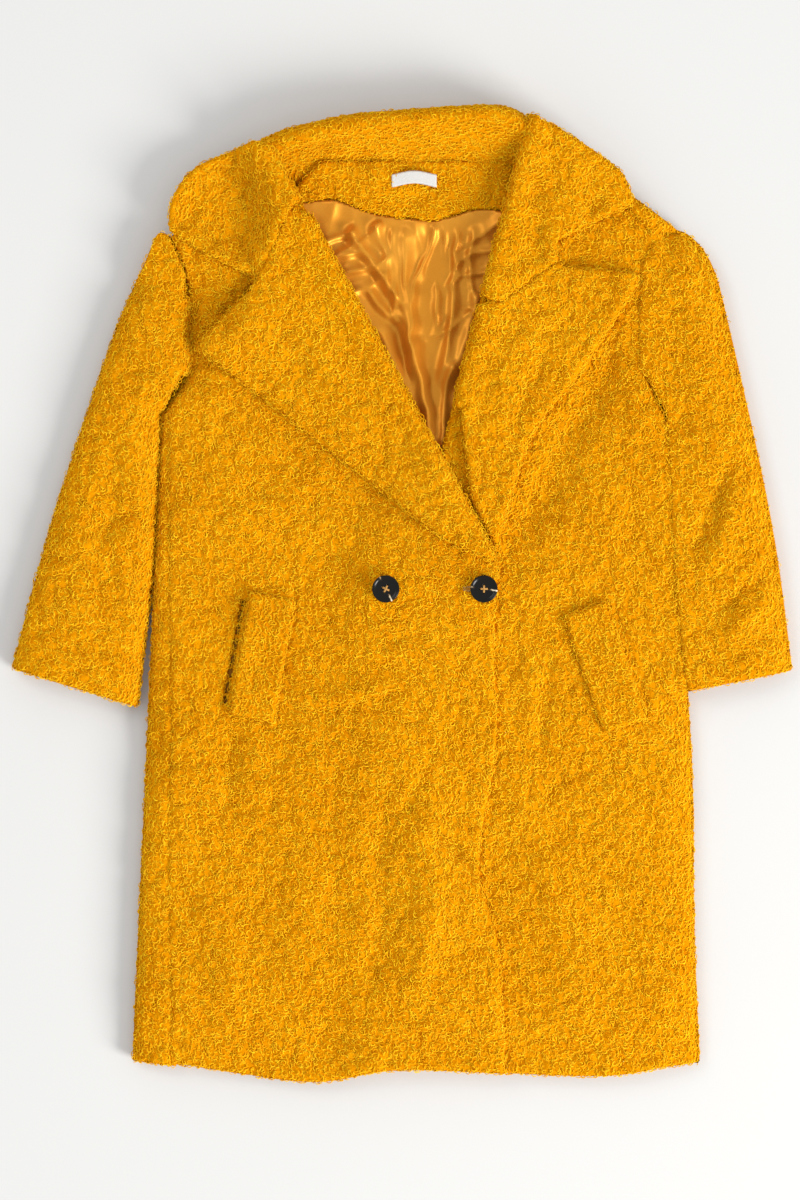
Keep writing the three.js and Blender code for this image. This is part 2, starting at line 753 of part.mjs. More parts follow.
const innerPlaced = innerDisc.translate([showButtonX, -2 * buttonDrop, innerZ + innerButtonT]);
add('inner_button', innerPlaced, buttonColor, 0.3);
const innerTop = innerZ + innerButtonT;
const innerPost = post(threadR, showButtonX, -buttonDrop, innerTop + 0.3, rightFacingZ - 0.3, 16);
add('inner_button_thread', innerPost, threadColor, 0.8);

// ---- Put the origin under the middle of the coat ----
const bounds = new THREE.Box3().setFromObject(group);
const middle = bounds.getCenter(new THREE.Vector3());
for (const mesh of group.children) {
  mesh.geometry.translate(-middle.x, -middle.y, -bounds.min.z);
}

export default group;
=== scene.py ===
"""Looks for a double-breasted boucle coat that lies flat and buttoned on a pale surface."""

import json
import math

import bpy
import numpy as np
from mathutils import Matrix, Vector


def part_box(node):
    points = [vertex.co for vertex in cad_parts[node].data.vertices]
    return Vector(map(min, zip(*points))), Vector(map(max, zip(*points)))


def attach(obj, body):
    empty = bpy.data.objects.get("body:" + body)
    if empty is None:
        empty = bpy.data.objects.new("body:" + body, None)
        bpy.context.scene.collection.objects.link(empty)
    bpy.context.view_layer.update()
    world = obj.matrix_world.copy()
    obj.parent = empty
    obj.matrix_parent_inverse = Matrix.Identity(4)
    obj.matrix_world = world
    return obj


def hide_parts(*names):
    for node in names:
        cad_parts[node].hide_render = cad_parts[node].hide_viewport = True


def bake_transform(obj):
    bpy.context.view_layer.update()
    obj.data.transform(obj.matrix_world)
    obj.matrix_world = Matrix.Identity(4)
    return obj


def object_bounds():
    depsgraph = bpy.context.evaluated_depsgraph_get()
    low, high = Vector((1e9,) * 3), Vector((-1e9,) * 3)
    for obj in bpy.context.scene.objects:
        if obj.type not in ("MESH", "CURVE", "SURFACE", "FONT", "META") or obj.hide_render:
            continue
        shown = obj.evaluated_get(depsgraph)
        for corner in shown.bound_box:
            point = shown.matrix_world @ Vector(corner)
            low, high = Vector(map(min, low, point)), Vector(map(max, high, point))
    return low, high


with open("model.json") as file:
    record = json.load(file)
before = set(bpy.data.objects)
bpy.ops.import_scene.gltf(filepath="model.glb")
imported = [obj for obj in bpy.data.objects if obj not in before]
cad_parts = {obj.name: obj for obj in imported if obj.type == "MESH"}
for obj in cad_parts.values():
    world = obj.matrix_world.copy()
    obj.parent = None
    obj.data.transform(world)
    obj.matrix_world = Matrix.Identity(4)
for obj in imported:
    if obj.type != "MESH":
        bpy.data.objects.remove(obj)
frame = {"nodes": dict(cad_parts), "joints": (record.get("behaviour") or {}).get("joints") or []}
cad_low, cad_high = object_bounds()
nodes = frame["nodes"]
MM = 0.001

# ---- helpers


def smooth(t):
    t = np.clip(t, 0.0, 1.0)
    return t * t * (3 - 2 * t)


def dome(d, radius, low=0.0):
    """How far a rounded edge has risen at distance d inside it, from low to 1."""
    t = 1 - np.clip(d / radius, 0.0, 1.0)
    return low + (1 - low) * np.sqrt(np.clip(1 - t * t, 0.0, 1.0))


class Noise:
    """Smooth value noise over the plan, in millimetres."""

    def __init__(self, seed):
        self.grid = np.random.default_rng(seed).uniform(-1, 1, (64, 64))

    def __call__(self, x, y, size):
        u, v = x / size + 500.3, y / size + 500.7
        i, j = np.floor(u).astype(int), np.floor(v).astype(int)
        f, g = smooth(u - i), smooth(v - j)
        g00 = self.grid[i % 64, j % 64]
        g10 = self.grid[(i + 1) % 64, j % 64]
        g01 = self.grid[i % 64, (j + 1) % 64]
        g11 = self.grid[(i + 1) % 64, (j + 1) % 64]
        low = g00 * (1 - f) + g10 * f
        return low * (1 - g) + (g01 * (1 - f) + g11 * f) * g


noise = Noise(11)
noise_b = Noise(23)


class Tufts:
    """Rounded tufts of pile over the plan: 1 in the middle of a tuft, 0 between tufts."""

    def __init__(self, seed, size):
        self.shift = np.random.default_rng(seed).uniform(-0.42, 0.42, (2, 64, 64))
        self.size = size

    def __call__(self, x, y):
        u, v = x / self.size + 500.3, y / self.size + 500.7
        i, j = np.floor(u).astype(int), np.floor(v).astype(int)
        best = np.full(np.shape(x), 9.0)
        for a in (-1, 0, 1):
            for b in (-1, 0, 1):
                ci, cj = i + a, j + b
                sx, sy = self.shift[:, ci % 64, cj % 64]
                best = np.minimum(best, (u - ci - 0.5 - sx) ** 2 + (v - cj - 0.5 - sy) ** 2)
        return np.clip(1 - best / 0.55, 0, 1)


tufts = Tufts(37, 10.5)


def plan(name, low=False):
    """The outlines of a node's top face, or of its bottom face, in millimetres."""
    me = nodes[name].data
    co = np.array([v.co for v in me.vertices]) * 1000
    level = co[:, 2].min() if low else co[:, 2].max()
    count = {}
    for p in me.polygons:
        ids = list(p.vertices)
        if all(abs(co[i, 2] - level) < 0.05 for i in ids):
            keys = [tuple(np.round(co[i, :2], 2)) for i in ids]
            for a, b in zip(keys, keys[1:] + keys[:1]):
                edge = (a, b) if a < b else (b, a)
                count[edge] = count.get(edge, 0) + 1
    after = {}
    for (a, b), n in count.items():
        if n == 1:
            after.setdefault(a, []).append(b)
            after.setdefault(b, []).append(a)
    loops = []
    while after:
        start = next(iter(after))
        loop, here = [start], start
        while True:
            there = after[here].pop()
            after[there].remove(here)
            if not after[here]:
                del after[here]
            if there == start:
                break
            loop.append(there)
            here = there
        if start in after and not after[start]:
            del after[start]
        loops.append(np.array(loop))
    return sorted(loops, key=lambda p: -np.ptp(p[:, 0]) * np.ptp(p[:, 1]))


def segments(loops):
    return np.concatenate([np.hstack([p, np.roll(p, -1, 0)]) for p in loops])


def to_segments(x, y, parts):
    """The distance from each point to the nearest of these segments."""
    best = np.full(x.shape, 1e9)
    for ax, ay, bx, by in parts:
        dx, dy = bx - ax, by - ay
        t = np.clip(((x - ax) * dx + (y - ay) * dy) / max(dx * dx + dy * dy, 1e-9), 0, 1)
        best = np.minimum(best, (x - ax - t * dx) ** 2 + (y - ay - t * dy) ** 2)
    return np.sqrt(best)


def inside_of(x, y, loops):
    """How far each point lies inside the outlines; negative outside."""
    parts = segments(loops)
    within = np.zeros(x.shape, bool)
    for ax, ay, bx, by in parts:
        if ay != by:
            within ^= ((ay > y) != (by > y)) & (x < (bx - ax) * (y - ay) / (by - ay) + ax)
    d = to_segments(x, y, parts)
    return np.where(within, d, -d)


def ridge(x, y, points, width, height, fade=0.25, start=None):
    """A soft fold along a line of points, highest in its middle."""
    points = np.array(points, float)
    best = np.full(x.shape, 1e9)
    along = np.zeros(x.shape)
    lengths = np.hypot(*(points[1:] - points[:-1]).T)
    total, done = lengths.sum(), 0.0
    for (ax, ay), (bx, by), n in zip(points[:-1], points[1:], lengths):
        dx, dy = bx - ax, by - ay
        t = np.clip(((x - ax) * dx + (y - ay) * dy) / (n * n), 0, 1)
        d = (x - ax - t * dx) ** 2 + (y - ay - t * dy) ** 2
        nearer = d < best
        along = np.where(nearer, (done + t * n) / total, along)
        best = np.minimum(best, d)
        done += n
    ends = smooth(along / (fade if start is None else start)) * smooth((1 - along) / fade)
    return height * ends * np.exp(-best / (width * width))


def folded(z, x, y, folds, much=1.0):
    """A height with soft folds added, each given as (points, width, height)."""
    for points, width, height in folds:
        z = z + much * ridge(x, y, points, width, height)
    return z


class Sheet:
    """A sheet with an upper and a lower side, as a closed mesh in millimetres."""

    pile = ()

    def __init__(self, verts, top, low, area):
        self.verts = verts
        self.top = top
        self.low = low
        self.area = area

    def faces(self):
        return np.concatenate([self.top, self.low])

    def samples(self, rng, spacing, low=False):
        """Points spread evenly over one side, with normals."""
        q = self.low if low else self.top
        p = self.verts[q]
        n = np.cross(p[:, 2] - p[:, 0], p[:, 3] - p[:, 1])
        size = np.linalg.norm(n, axis=1)
        area = size / 2
        total = area.sum()
        count = int(total / spacing**2)
        order = np.argsort(rng.random(len(q)))
        order = np.arange(len(q)) if count < len(q) else order
        ends = np.cumsum(area[order])
        at = (np.arange(count) + rng.random(count)) * total / count
        pick = order[np.minimum(np.searchsorted(ends, at), len(q) - 1)]
        u, v = rng.random((2, count, 1))
        c = p[pick]
        pos = (c[:, 0] * (1 - u) + c[:, 1] * u) * (1 - v) + (c[:, 3] * (1 - u) + c[:, 2] * u) * v
        normal = n[pick] / np.maximum(size[pick], 1e-9)[:, None]
        return pos, normal


class Cloth(Sheet):
    """A thick sheet of cloth over an outline, at a height that varies over the plan."""

    def __init__(self, field, box, step, middle, thick, edge, nub=0.0):
        x0, y0, x1, y1 = box
        nx, ny = int((x1 - x0) / step) + 2, int((y1 - y0) / step) + 2
        gx = x0 + step * np.arange(nx)
        gy = y0 + step * np.arange(ny)
        x, y = np.meshgrid(gx, gy)
        d = field(x, y)
        on = d > -0.45 * step
        cell = on[:-1, :-1] & on[1:, :-1] & on[:-1, 1:] & on[1:, 1:]
        used = np.zeros(on.shape, int)
        for a, b in ((0, 0), (1, 0), (0, 1), (1, 1)):
            used[a : a + ny - 1, b : b + nx - 1] += cell
        rim = (used > 0) & (used < 4)
        e = 0.25 * step
        for _ in range(3):
            rx, ry = x[rim], y[rim]
            rd = field(rx, ry)
            gxx = (field(rx + e, ry) - field(rx - e, ry)) / (2 * e)
            gyy = (field(rx, ry + e) - field(rx, ry - e)) / (2 * e)
            norm = np.maximum(np.hypot(gxx, gyy), 0.3)
            move = np.clip(rd / norm, -step, step)
            x[rim], y[rim] = rx - move * gxx / norm, ry - move * gyy / norm
        d = np.maximum(field(x, y), 0.0)
        d[rim] = 0.0
        z = middle(x, y)
        half = thick / 2 * dome(d, edge)
        if nub:
            relief = 3.4 * tufts(x + 3 * noise(x, y, 19), y) - 2.0
            relief = relief + 1.5 * noise(x, y, 24) + 0.8 * noise_b(x, y, 8)
            z = z + nub * relief * dome(d, edge)
        ids = -np.ones(on.shape, int)
        ids[used > 0] = np.arange((used > 0).sum())
        under = ids.copy()
        inner = used == 4
        count = (used > 0).sum()
        under[inner] = count + np.arange(inner.sum())
        keep = used > 0
        top = np.stack([x[keep], y[keep], (z + half)[keep]], 1)
        low = np.stack([x[inner], y[inner], (z - half)[inner]], 1)
        def quads(i):
            corners = (i[:-1, :-1], i[:-1, 1:], i[1:, 1:], i[1:, :-1])
            return np.stack([c[cell] for c in corners], 1)

        area = step * step * cell.sum()
        super().__init__(np.concatenate([top, low]), quads(ids), quads(under)[:, ::-1], area)

def add_object(name, me, material):
    me.materials.append(material)
    ob = bpy.data.objects.new(name, me)
    bpy.context.scene.collection.objects.link(ob)
    return ob


def mesh_object(name, verts, faces, material, smooth_shade=True):
    """An object whose faces all have the same number of corners, from millimetres."""
    me = bpy.data.meshes.new(name)
    verts = np.asarray(verts, np.float32) * MM
    faces = np.asarray(faces, np.int32)
    me.vertices.add(len(verts))
    me.vertices.foreach_set("co", verts.ravel())
    me.loops.add(faces.size)
    me.loops.foreach_set("vertex_index", faces.ravel())
    me.polygons.add(len(faces))
    starts = np.arange(len(faces), dtype=np.int32) * faces.shape[1]
    me.polygons.foreach_set("loop_start", starts)
    me.polygons.foreach_set("use_smooth", np.full(len(faces), smooth_shade))
    me.update(calc_edges=True)
    me.validate()
    return add_object(name, me, material)


def curls(name, pos, normal, rng, material, reach=(1.4, 3.1), yarn=0.56, points=6):
    """Loops of yarn that stand out of a cloth."""
    n = len(pos)
    a = rng.normal(size=(n, 3)) + 5.0 * np.cross(normal, [0.0, 0.0, 1.0])
    u = a - normal * (a * normal).sum(1)[:, None]
    u /= np.linalg.norm(u, axis=1)[:, None]
    w = np.cross(normal, u)
    tilt = rng.uniform(0.10, 0.95, n)
    v = w * np.cos(tilt)[:, None] + normal * np.sin(tilt)[:, None]
    size = rng.uniform(*reach, n)
    span = rng.uniform(0.95, 1.8, n) * math.pi
    start = rng.uniform(-0.45, 0.15, n) * math.pi
    t = np.linspace(0, 1, points)
    phi = start[:, None] + span[:, None] * t
    squeeze = rng.uniform(0.55, 1.0, n)[:, None]
    wind = 1 - rng.uniform(0.0, 0.45, n)[:, None] * t
    radius = size[:, None] * wind
    centre = pos + normal * (0.25 + 0.12 * size * np.sin(tilt))[:, None]
    path = (
        centre[:, None]
        + (radius * np.cos(phi))[..., None] * u[:, None]
        + (radius * squeeze * np.sin(phi))[..., None] * v[:, None]
    )
    twist = rng.uniform(-0.8, 0.8, n)[:, None] * np.sin(math.pi * t) * size[:, None] * 0.5
    flat = np.cross(u, v)
    path = path + twist[..., None] * flat[:, None]
    along = np.gradient(path, axis=1)
    along /= np.maximum(np.linalg.norm(along, axis=2), 1e-9)[..., None]
    side = np.cross(along, flat[:, None])
    side /= np.maximum(np.linalg.norm(side, axis=2), 1e-9)[..., None]
    other = np.cross(along, side)
    swell = 0.55 + 0.45 * np.sin(math.pi * np.clip(t, 0.02, 0.98)) ** 0.5
    thick = yarn * rng.uniform(0.75, 1.2, n)[:, None] * swell
    ring = []
    for k in range(3):
        a = 2 * math.pi * k / 3
        ring.append(path + thick[..., None] * (math.cos(a) * side + math.sin(a) * other))
    verts = np.stack(ring, 2).reshape(-1, 3)
    base = np.arange(n)[:, None, None] * points * 3
    at = base + np.arange(points - 1)[None, :, None] * 3
    k = np.arange(3)[None, None, :]
    k2 = (k + 1) % 3
    faces = np.stack([at + k, at + k2, at + 3 + k2, at + 3 + k], 3)
    ob = mesh_object(name, verts, faces.reshape(-1, 4), material)
    tint = np.repeat(rng.random(n), points * 3).astype(np.float32)
    ob.data.attributes.new("tint", "FLOAT", "POINT").data.foreach_set("value", tint)
    return ob


# ---- materials


class Surface:
    """A material's shader and the nodes that feed it."""

    def __init__(self, name, attribute=None):
        self.mat = bpy.data.materials.new(name)
        self.mat.use_nodes = True
        self.nodes = self.mat.node_tree.nodes
        self.link = self.mat.node_tree.links.new
        self.shader = self.nodes["Principled BSDF"].inputs
        if attribute:
            self.coords = self.attribute(attribute, "Vector")
        else:
            self.coords = self.nodes.new("ShaderNodeTexCoord").outputs["Object"]

    def attribute(self, name, output):
        node = self.nodes.new("ShaderNodeAttribute")
        node.attribute_name = name
        return node.outputs[output]

    def noise(self, scale, detail, rough=0.5, twist=0.0):
        node = self.nodes.new("ShaderNodeTexNoise")
        node.inputs["Scale"].default_value = scale
        node.inputs["Detail"].default_value = detail
        node.inputs["Roughness"].default_value = rough
        node.inputs["Distortion"].default_value = twist
        self.link(self.coords, node.inputs["Vector"])
        return node.outputs["Fac"]

    def maths(self, op, a, b=0.0):
        node = self.nodes.new("ShaderNodeMath")
        node.operation = op
        for socket, value in zip(node.inputs, (a, b)):
            if isinstance(value, (int, float)):
                socket.default_value = value
            else:
                self.link(value, socket)
        return node.outputs[0]

    def times(self, a, b):
        return self.maths("MULTIPLY", a, b)

    def minus(self, a, b):
        return self.maths("SUBTRACT", a, b)

    def mixed(self, a, much, b, more):
        """a times much, plus b times more."""
        return self.maths("ADD", self.times(a, much), self.times(b, more))

    def bump(self, height, strength, distance):
        node = self.nodes.new("ShaderNodeBump")
        node.inputs["Strength"].default_value = strength
        node.inputs["Distance"].default_value = distance
        self.link(height, node.inputs["Height"])
        self.link(node.outputs["Normal"], self.shader["Normal"])

    def finish(self, fac, stops, roughness, specular=0.5):
        """Colours the surface along a ramp, and returns its material."""
        node = self.nodes.new("ShaderNodeValToRGB")
        elements = node.color_ramp.elements
        while len(elements) < len(stops):
            elements.new(0.5)
        for e, (place, color) in zip(elements, stops):
            e.position = place
            e.color = (*color, 1.0)
        self.link(fac, node.inputs["Fac"])
        self.link(node.outputs["Color"], self.shader["Base Color"])
        self.shader["Roughness"].default_value = roughness
        self.shader["Specular IOR Level"].default_value = specular
        return self.mat


def yarn_material(name, dark, light, with_tint):
    """Matt boucle: a broad mottle, with fine lines that run like yarn."""
    s = Surface(name)
    fine = s.noise(330.0, 3.0, 0.65, 1.6)
    worm = s.times(s.maths("ABSOLUTE", s.minus(fine, 0.5)), 4.0)
    broad = s.mixed(s.noise(11.0, 3.0), 0.6, s.noise(75.0, 2.0, 0.6), 0.9)
    fac = s.mixed(s.minus(broad, 0.25), 0.55, worm, 0.50)
    if with_tint:
        fac = s.mixed(fac, 0.66, s.attribute("tint", "Fac"), 0.40)
    s.bump(s.mixed(worm, 1.0, s.noise(1500.0, 1.0), 0.35), 0.5, 0.0009)
    middle = tuple(0.5 * (a + b) for a, b in zip(dark, light))
    return s.finish(fac, [(0.12, dark), (0.42, middle), (0.75, light)], 0.95, 0.025)


def satin_material():
    s = Surface("satin_lining")
    weave = s.noise(900.0, 1.0)
    fac = s.mixed(s.noise(14.0, 3.0), 0.8, weave, 0.2)
    s.bump(weave, 0.12, 0.0003)
    s.shader["Metallic"].default_value = 0.45
    s.shader["Specular Tint"].default_value = (1.0, 0.72, 0.35, 1.0)
    stops = [(0.2, (0.48, 0.17, 0.011)), (0.5, (0.62, 0.245, 0.020)), (0.8, (0.74, 0.33, 0.036))]
    return s.finish(fac, stops, 0.40, 0.4)


def woven_material(name, scale, dark, light, roughness, strength, distance):
    """A close weave or twist that runs between two colours."""
    s = Surface(name)
    weave = s.noise(scale, 1.0)
    s.bump(weave, strength, distance)
    return s.finish(weave, [(0.3, dark), (0.7, light)], roughness)


def button_material():
    """Black horn with a pale streak out to the rim; "grain" holds the place across the face."""
    s = Surface("polished_horn", "grain")
    split = s.nodes.new("ShaderNodeSeparateXYZ")
    s.link(s.coords, split.inputs[0])
    along = split.outputs["X"]
    drift = s.times(s.minus(s.noise(5.0, 3.0, 0.6), 0.5), 0.22)
    off = s.maths("ABSOLUTE", s.maths("ADD", split.outputs["Y"], drift))
    thin = s.minus(1.0, s.times(off, 9.0))
    far = s.maths("MINIMUM", s.times(s.minus(along, 0.34), 3.2), 1.0)
    back = s.maths("MINIMUM", s.times(s.minus(-0.62, along), 2.0), 0.6)
    ends = s.maths("MAXIMUM", s.maths("MAXIMUM", far, back), 0.0)
    fac = s.times(s.maths("MAXIMUM", thin, 0.0), ends)
    black, brown = (0.004, 0.0035, 0.003), (0.03, 0.018, 0.01)
    tan, cream = (0.45, 0.33, 0.17), (0.85, 0.76, 0.58)
    return s.finish(fac, [(0.0, black), (0.25, brown), (0.55, tan), (0.9, cream)], 0.22, 0.22)


def floor_material():
    s = Surface("pale_floor")
    stops = [(0.3, (0.615, 0.612, 0.602)), (0.7, (0.63, 0.627, 0.617))]
    return s.finish(s.noise(1.3, 2.0), stops, 0.8, 0.2)


# The ground cloth under the loops is coloured darker and browner than the yarn: its own tone, with painted
# shade for the recesses between the loops.
shaded_ground_mat = yarn_material("boucle_ground_and_shade", (0.53, 0.165, 0.0003), (0.91, 0.38, 0.0008), False)
yarn_mat = yarn_material("boucle_yarn", (0.78, 0.30, 0.0005), (1.0, 0.62, 0.014), True)
satin = satin_material()
label_mat = woven_material(
    "woven_label", 1600.0, (0.50, 0.49, 0.465), (0.66, 0.65, 0.63), 0.42, 0.2, 0.0003
)
button_mat = button_material()
thread_mat = woven_material(
    "sewing_thread", 2600.0, (0.30, 0.13, 0.02), (0.62, 0.34, 0.08), 0.7, 0.5, 0.0004
)

# What a sheet is made of: its material, and a slot name that nothing reads.
WOOL = (shaded_ground_mat, "boucle")
FACING = (shaded_ground_mat, "boucle_facing")
SATIN = (satin, "lining")
LABEL = (label_mat, "label")

# ---- the coat's lines, read from the CAD

back_loops = [plan(f"back_panel_{side}", low=True)[0] for side in ("right", "left")]
front_loops = plan("right_front_panel")
skirt_loops = plan("right_front_skirt")[:1]
left_loops = plan("left_front_panel")
lapel_loops = plan("right_lapel_facing")
leaf_loops = plan("right_top_collar")
left_lapel_loops = plan("left_lapel_facing")
left_leaf_loops = plan("left_top_collar")
neck_loops = plan("back_neck_facing")[:1]
joint_of = {j["name"]: j for j in frame["joints"]}


def box_of(*names):
    """The low and high corners of some nodes, in millimetres."""
    lows, highs = zip(*(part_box(n) for n in names))
    return np.min(lows, 0) * 1000, np.max(highs, 0) * 1000


def around(*names, pad=6):
    lo, hi = box_of(*names)
    return lo[0] - pad, lo[1] - pad, hi[0] + pad, hi[1] + pad


def inside_either(x, y, pair):
    """How far each point lies inside one of two outlines."""
    return np.maximum(*(inside_of(x, y, [p]) for p in pair))


def body_in(x, y):
    """How far each point lies inside the back, with its middle seam closed."""
    return inside_either(x, y, back_loops) + 0.3 * (np.abs(x - 15) < 12)


side_y = np.linspace(-480, 440, 93)
side_x0, side_x1 = [], []
for level in side_y:
    row = np.linspace(-300, 320, 311)
    hit = row[inside_either(row, np.full(row.shape, level), back_loops) > -0.6]
    side_x0.append(hit.min() if len(hit) else np.nan)
    side_x1.append(hit.max() if len(hit) else np.nan)
side_x0, side_x1 = np.array(side_x0), np.array(side_x1)


def side_in(x, y):
    """How far inside the coat's sides a point lies."""
    return np.minimum(x - np.interp(y, side_y, side_x0), np.interp(y, side_y, side_x1) - x)


body_lo, body_hi = box_of("back_panel_right", "back_panel_left")


def spread(x, y):
    """The cloth lies a little wider on the left side, below the cuff."""
    return (2.0 + 6.0 * np.exp(-(((y + 170) / 130) ** 2))) * smooth((x - 120) / 100)


side_x1 = side_x1 + spread(side_x1, side_y)
hem_y = body_lo[1]
FRONT_TOP = box_of("left_front_panel")[1][2] - 2.5
BUTTON_SPOTS = [box_of("front_button"), box_of("show_button")]
LAP_RISE = 7.0  # how much higher the right front lies where it laps over the left
LAPEL_EDGE = [(-190, 216), (-110, 156), (-20, 96), (84, 26)]
LEFT_ROLL = [(246, 300), (168, 146), (92, -6)]

# Soft folds in the fronts, as lines in the plan: (points, width, height).
BODY_FOLDS = [
    ([(70, -60), (110, -160), (165, -320), (195, -480)], 26, 3.4),
    ([(24, -200), (32, -320), (12, -446)], 17, 5.6),
    ([(-22, -190), (-18, -320), (-34, -440)], 13, -4.2),
    ([(-164, -130), (-176, -180), (-172, -236)], 12, -3.4),
    ([(-146, -120), (-150, -180), (-146, -250)], 14, 2.4),
    ([(-60, -30), (-90, -180), (-95, -330), (-120, -490)], 30, 3.4),
    ([(-190, -300), (-170, -380), (-185, -460)], 20, 3.0),
    ([(-240, -180), (-170, -205), (-100, -196)], 10, 2.4),
    ([(-235, -198), (-165, -222), (-105, -214)], 9, -2.2),
    ([(-165, -92), (-95, -112), (-30, -104), (15, -82)], 8, 2.6),
    ([(-160, -104), (-92, -124), (-28, -116), (18, -94)], 7, -2.2),
    ([(-70, -52), (-20, -66), (30, -54)], 8, 2.0),
    ([(-116, -430), (-60, -447), (0, -452), (66, -438)], 7, 2.8),
    ([(-110, -441), (-58, -458), (2, -463)], 6, -2.0),
    ([(112, -92), (150, -84), (196, -78)], 6, 2.6),
    ([(146, -60), (150, -110), (140, -170)], 7, -2.4),
    ([(132, -50), (136, -105), (128, -165)], 9, 2.2),
    ([(150, -118), (205, -140), (262, -148)], 9, 2.4),
    ([(292, 240), (238, 120), (172, 0)], 34, 2.6),
    (LEFT_ROLL, 22, -8.0),
    ([(262, 175), (240, 90), (236, 10)], 12, -2.6),
    ([(-215, 190), (-180, 120), (-160, 40)], 20, 3.0),
    ([(-140, 110), (-90, 70), (-30, 52)], 12, 2.4),
    ([(230, 340), (232, 290), (250, 215)], 16, 2.6),
    ([(-20, -120), (10, -200), (62, -236)], 12, 2.6),
]

# Valleys at the right armhole, in the notch's hollow and under the lapel's edge.
RIGHT_VALLEYS = [
    ([(-190, 340), (-214, 300), (-228, 250), (-226, 190)], 28, -9.0),
    ([(-132, 326), (-160, 300), (-190, 256)], 15, -7.5),
    (LAPEL_EDGE, 13, -3.4),
]

# The crease below the buttons, and the valley that follows it.
BUTTON_CREASE = [
    ([(8, -218), (60, -250), (98, -300)], 9, 4.4),
    ([(10, -240), (56, -270), (92, -318)], 8, -3.0),
]


def body_top(x, y):
    """The height of the fronts' outer face."""
    ds = side_in(x, y)
    upper = smooth((y - 150) / 60)
    edge = dome(ds, 36, 0.40) * (1 - upper) + dome(ds, 26, 0.30) * upper
    pressed = smooth((x - 150) / 60) * smooth((y + 112) / 16)
    edge = edge * (1 - pressed) + dome(ds, 16, 0.96) * pressed
    shoulder_side = smooth((y - 284) / 36)
    edge = edge * (1 - shoulder_side) + dome(ds, 12, 0.98) * shoulder_side
    shoulder = dome(np.maximum(430 - y, 0) + np.maximum(0, ds), 34, 0.55)
    z = FRONT_TOP * edge * (1 - 0.35 * (1 - shoulder))
    z = z * (1 - 0.24 * smooth((hem_y + 85 - y) / 80))
    live = smooth(ds / 40)
    z = z + live * (2.4 * noise(x, y, 120) + 1.6 * noise_b(x, y, 62) + 0.6 * noise(x, y, 34))
    return folded(z, x, y, BODY_FOLDS, live)


def fronts_meet(x, y):
    """1 where the right front lies on the left, 0 beyond the left front's edge."""
    return smooth((inside_of(x, y, left_loops[:1]) + 46) / 54)


def right_top(x, y):
    """The height of the right front's outer face."""
    z = body_top(x, y) + LAP_RISE * fronts_meet(x, y)
    z = z - 13 * smooth((inside_of(x, y, leaf_loops) - 2) / 30)
    z = np.maximum(folded(z, x, y, RIGHT_VALLEYS), 12.5)
    for low, high in BUTTON_SPOTS:
        away = np.hypot(x - (low[0] + high[0]) / 2, y - (low[1] + high[1]) / 2)
        z = z + (low[2] - 1.2 - z) * np.exp(-((away / 30) ** 2))
    return folded(z, x, y, BUTTON_CREASE)


def side_seam(x, y):
    """A narrow groove down the seam at the coat's right side."""
    across = x + 236.0 - 2.5 * noise(x, y, 90)
    return 2.2 * np.exp(-((across / 2.2) ** 2)) * (y < 178)


CLOTH = 5.0  # the boucle's thickness
step = 2.6
SPACING = 3.2  # from one yarn loop to the next
LOOPS_IN_PIECE = 6400
rng = np.random.default_rng(5)


def pile(name, cloth, sides, spacing, keep):
    """Yarn loops over a cloth, in pieces small enough to export whole."""
    wider = {"top": 1.0, "low": 1.25}
    found = [cloth.samples(rng, spacing * wider[s], low=s == "low") for s in sides]
    pos = np.concatenate([p for p, _ in found])
    normal = np.concatenate([n for _, n in found])
    if keep is not None:
        ok = keep(pos[:, 0], pos[:, 1])
        pos, normal = pos[ok], normal[ok]
    order = np.argsort(pos[:, 1], kind="stable")
    pos, normal = pos[order], normal[order]
    made = []
    count = max(1, math.ceil(len(pos) / LOOPS_IN_PIECE))
    for i, ids in enumerate(np.array_split(np.arange(len(pos)), count)):
        made.append(curls(f"{name}_loops_{i + 1}", pos[ids], normal[ids], rng, yarn_mat))
    return made


def lay(name, covers, kind, cloth, sides=(), keep=None, close=1.0):
    """Adds a sheet to the scene, with yarn loops over some sides where keep(x, y) holds."""
    material, slot = kind
    cloth.ob = mesh_object(name, cloth.verts, cloth.faces(), material)
    if covers:
        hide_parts(*covers)
    if sides:
        cloth.pile = pile(name, cloth, sides, SPACING * close, keep)
    return cloth


def layer(name, covers, kind, height, size, thick, edge, nub=0.0, grow=0.0, low=False, **loops):
    """Adds a sheet that fills the outlines of the nodes it covers, let out by grow."""
    outlines = [plan(n, low=low)[:1] for n in covers]
    field = lambda x, y: np.maximum.reduce([inside_of(x, y, p) for p in outlines]) + grow
    return lay(name, covers, kind, Cloth(field, around(*covers), size, height, thick, edge, nub), **loops)


def ride(body, *cloths):
    """Declares some sheets, which one body carries."""
    for cloth in cloths:
        for ob in (cloth.ob, *cloth.pile):
            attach(ob, body)


def bend(body, start, end, *cloths):
    """Bakes each sheet's placement into its mesh; the sheets are left on no body."""
    for cloth in cloths:
        for ob in (cloth.ob, *cloth.pile):
            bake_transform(ob)

# ---- back


def back_bottom(x, y):
    return 9.5 * (1 - dome(side_in(x, y), 15))


back_nodes = ("back_panel_right", "back_panel_left")
back = Cloth(
    lambda x, y: body_in(x, y) + 0.5 + spread(x, y),
    around(*back_nodes, pad=14),
    step * 1.3,
    lambda x, y: back_bottom(x, y) + CLOTH / 2 + 0.15,
    CLOTH,
    3.0,
    0.15,
)
near_edge = lambda x, y: (side_in(x, y) < 14) | (y < hem_y + 12)
ride("coat_body", lay("coat_back", back_nodes, WOOL, back, ("top", "low"), near_edge))

# ---- fronts

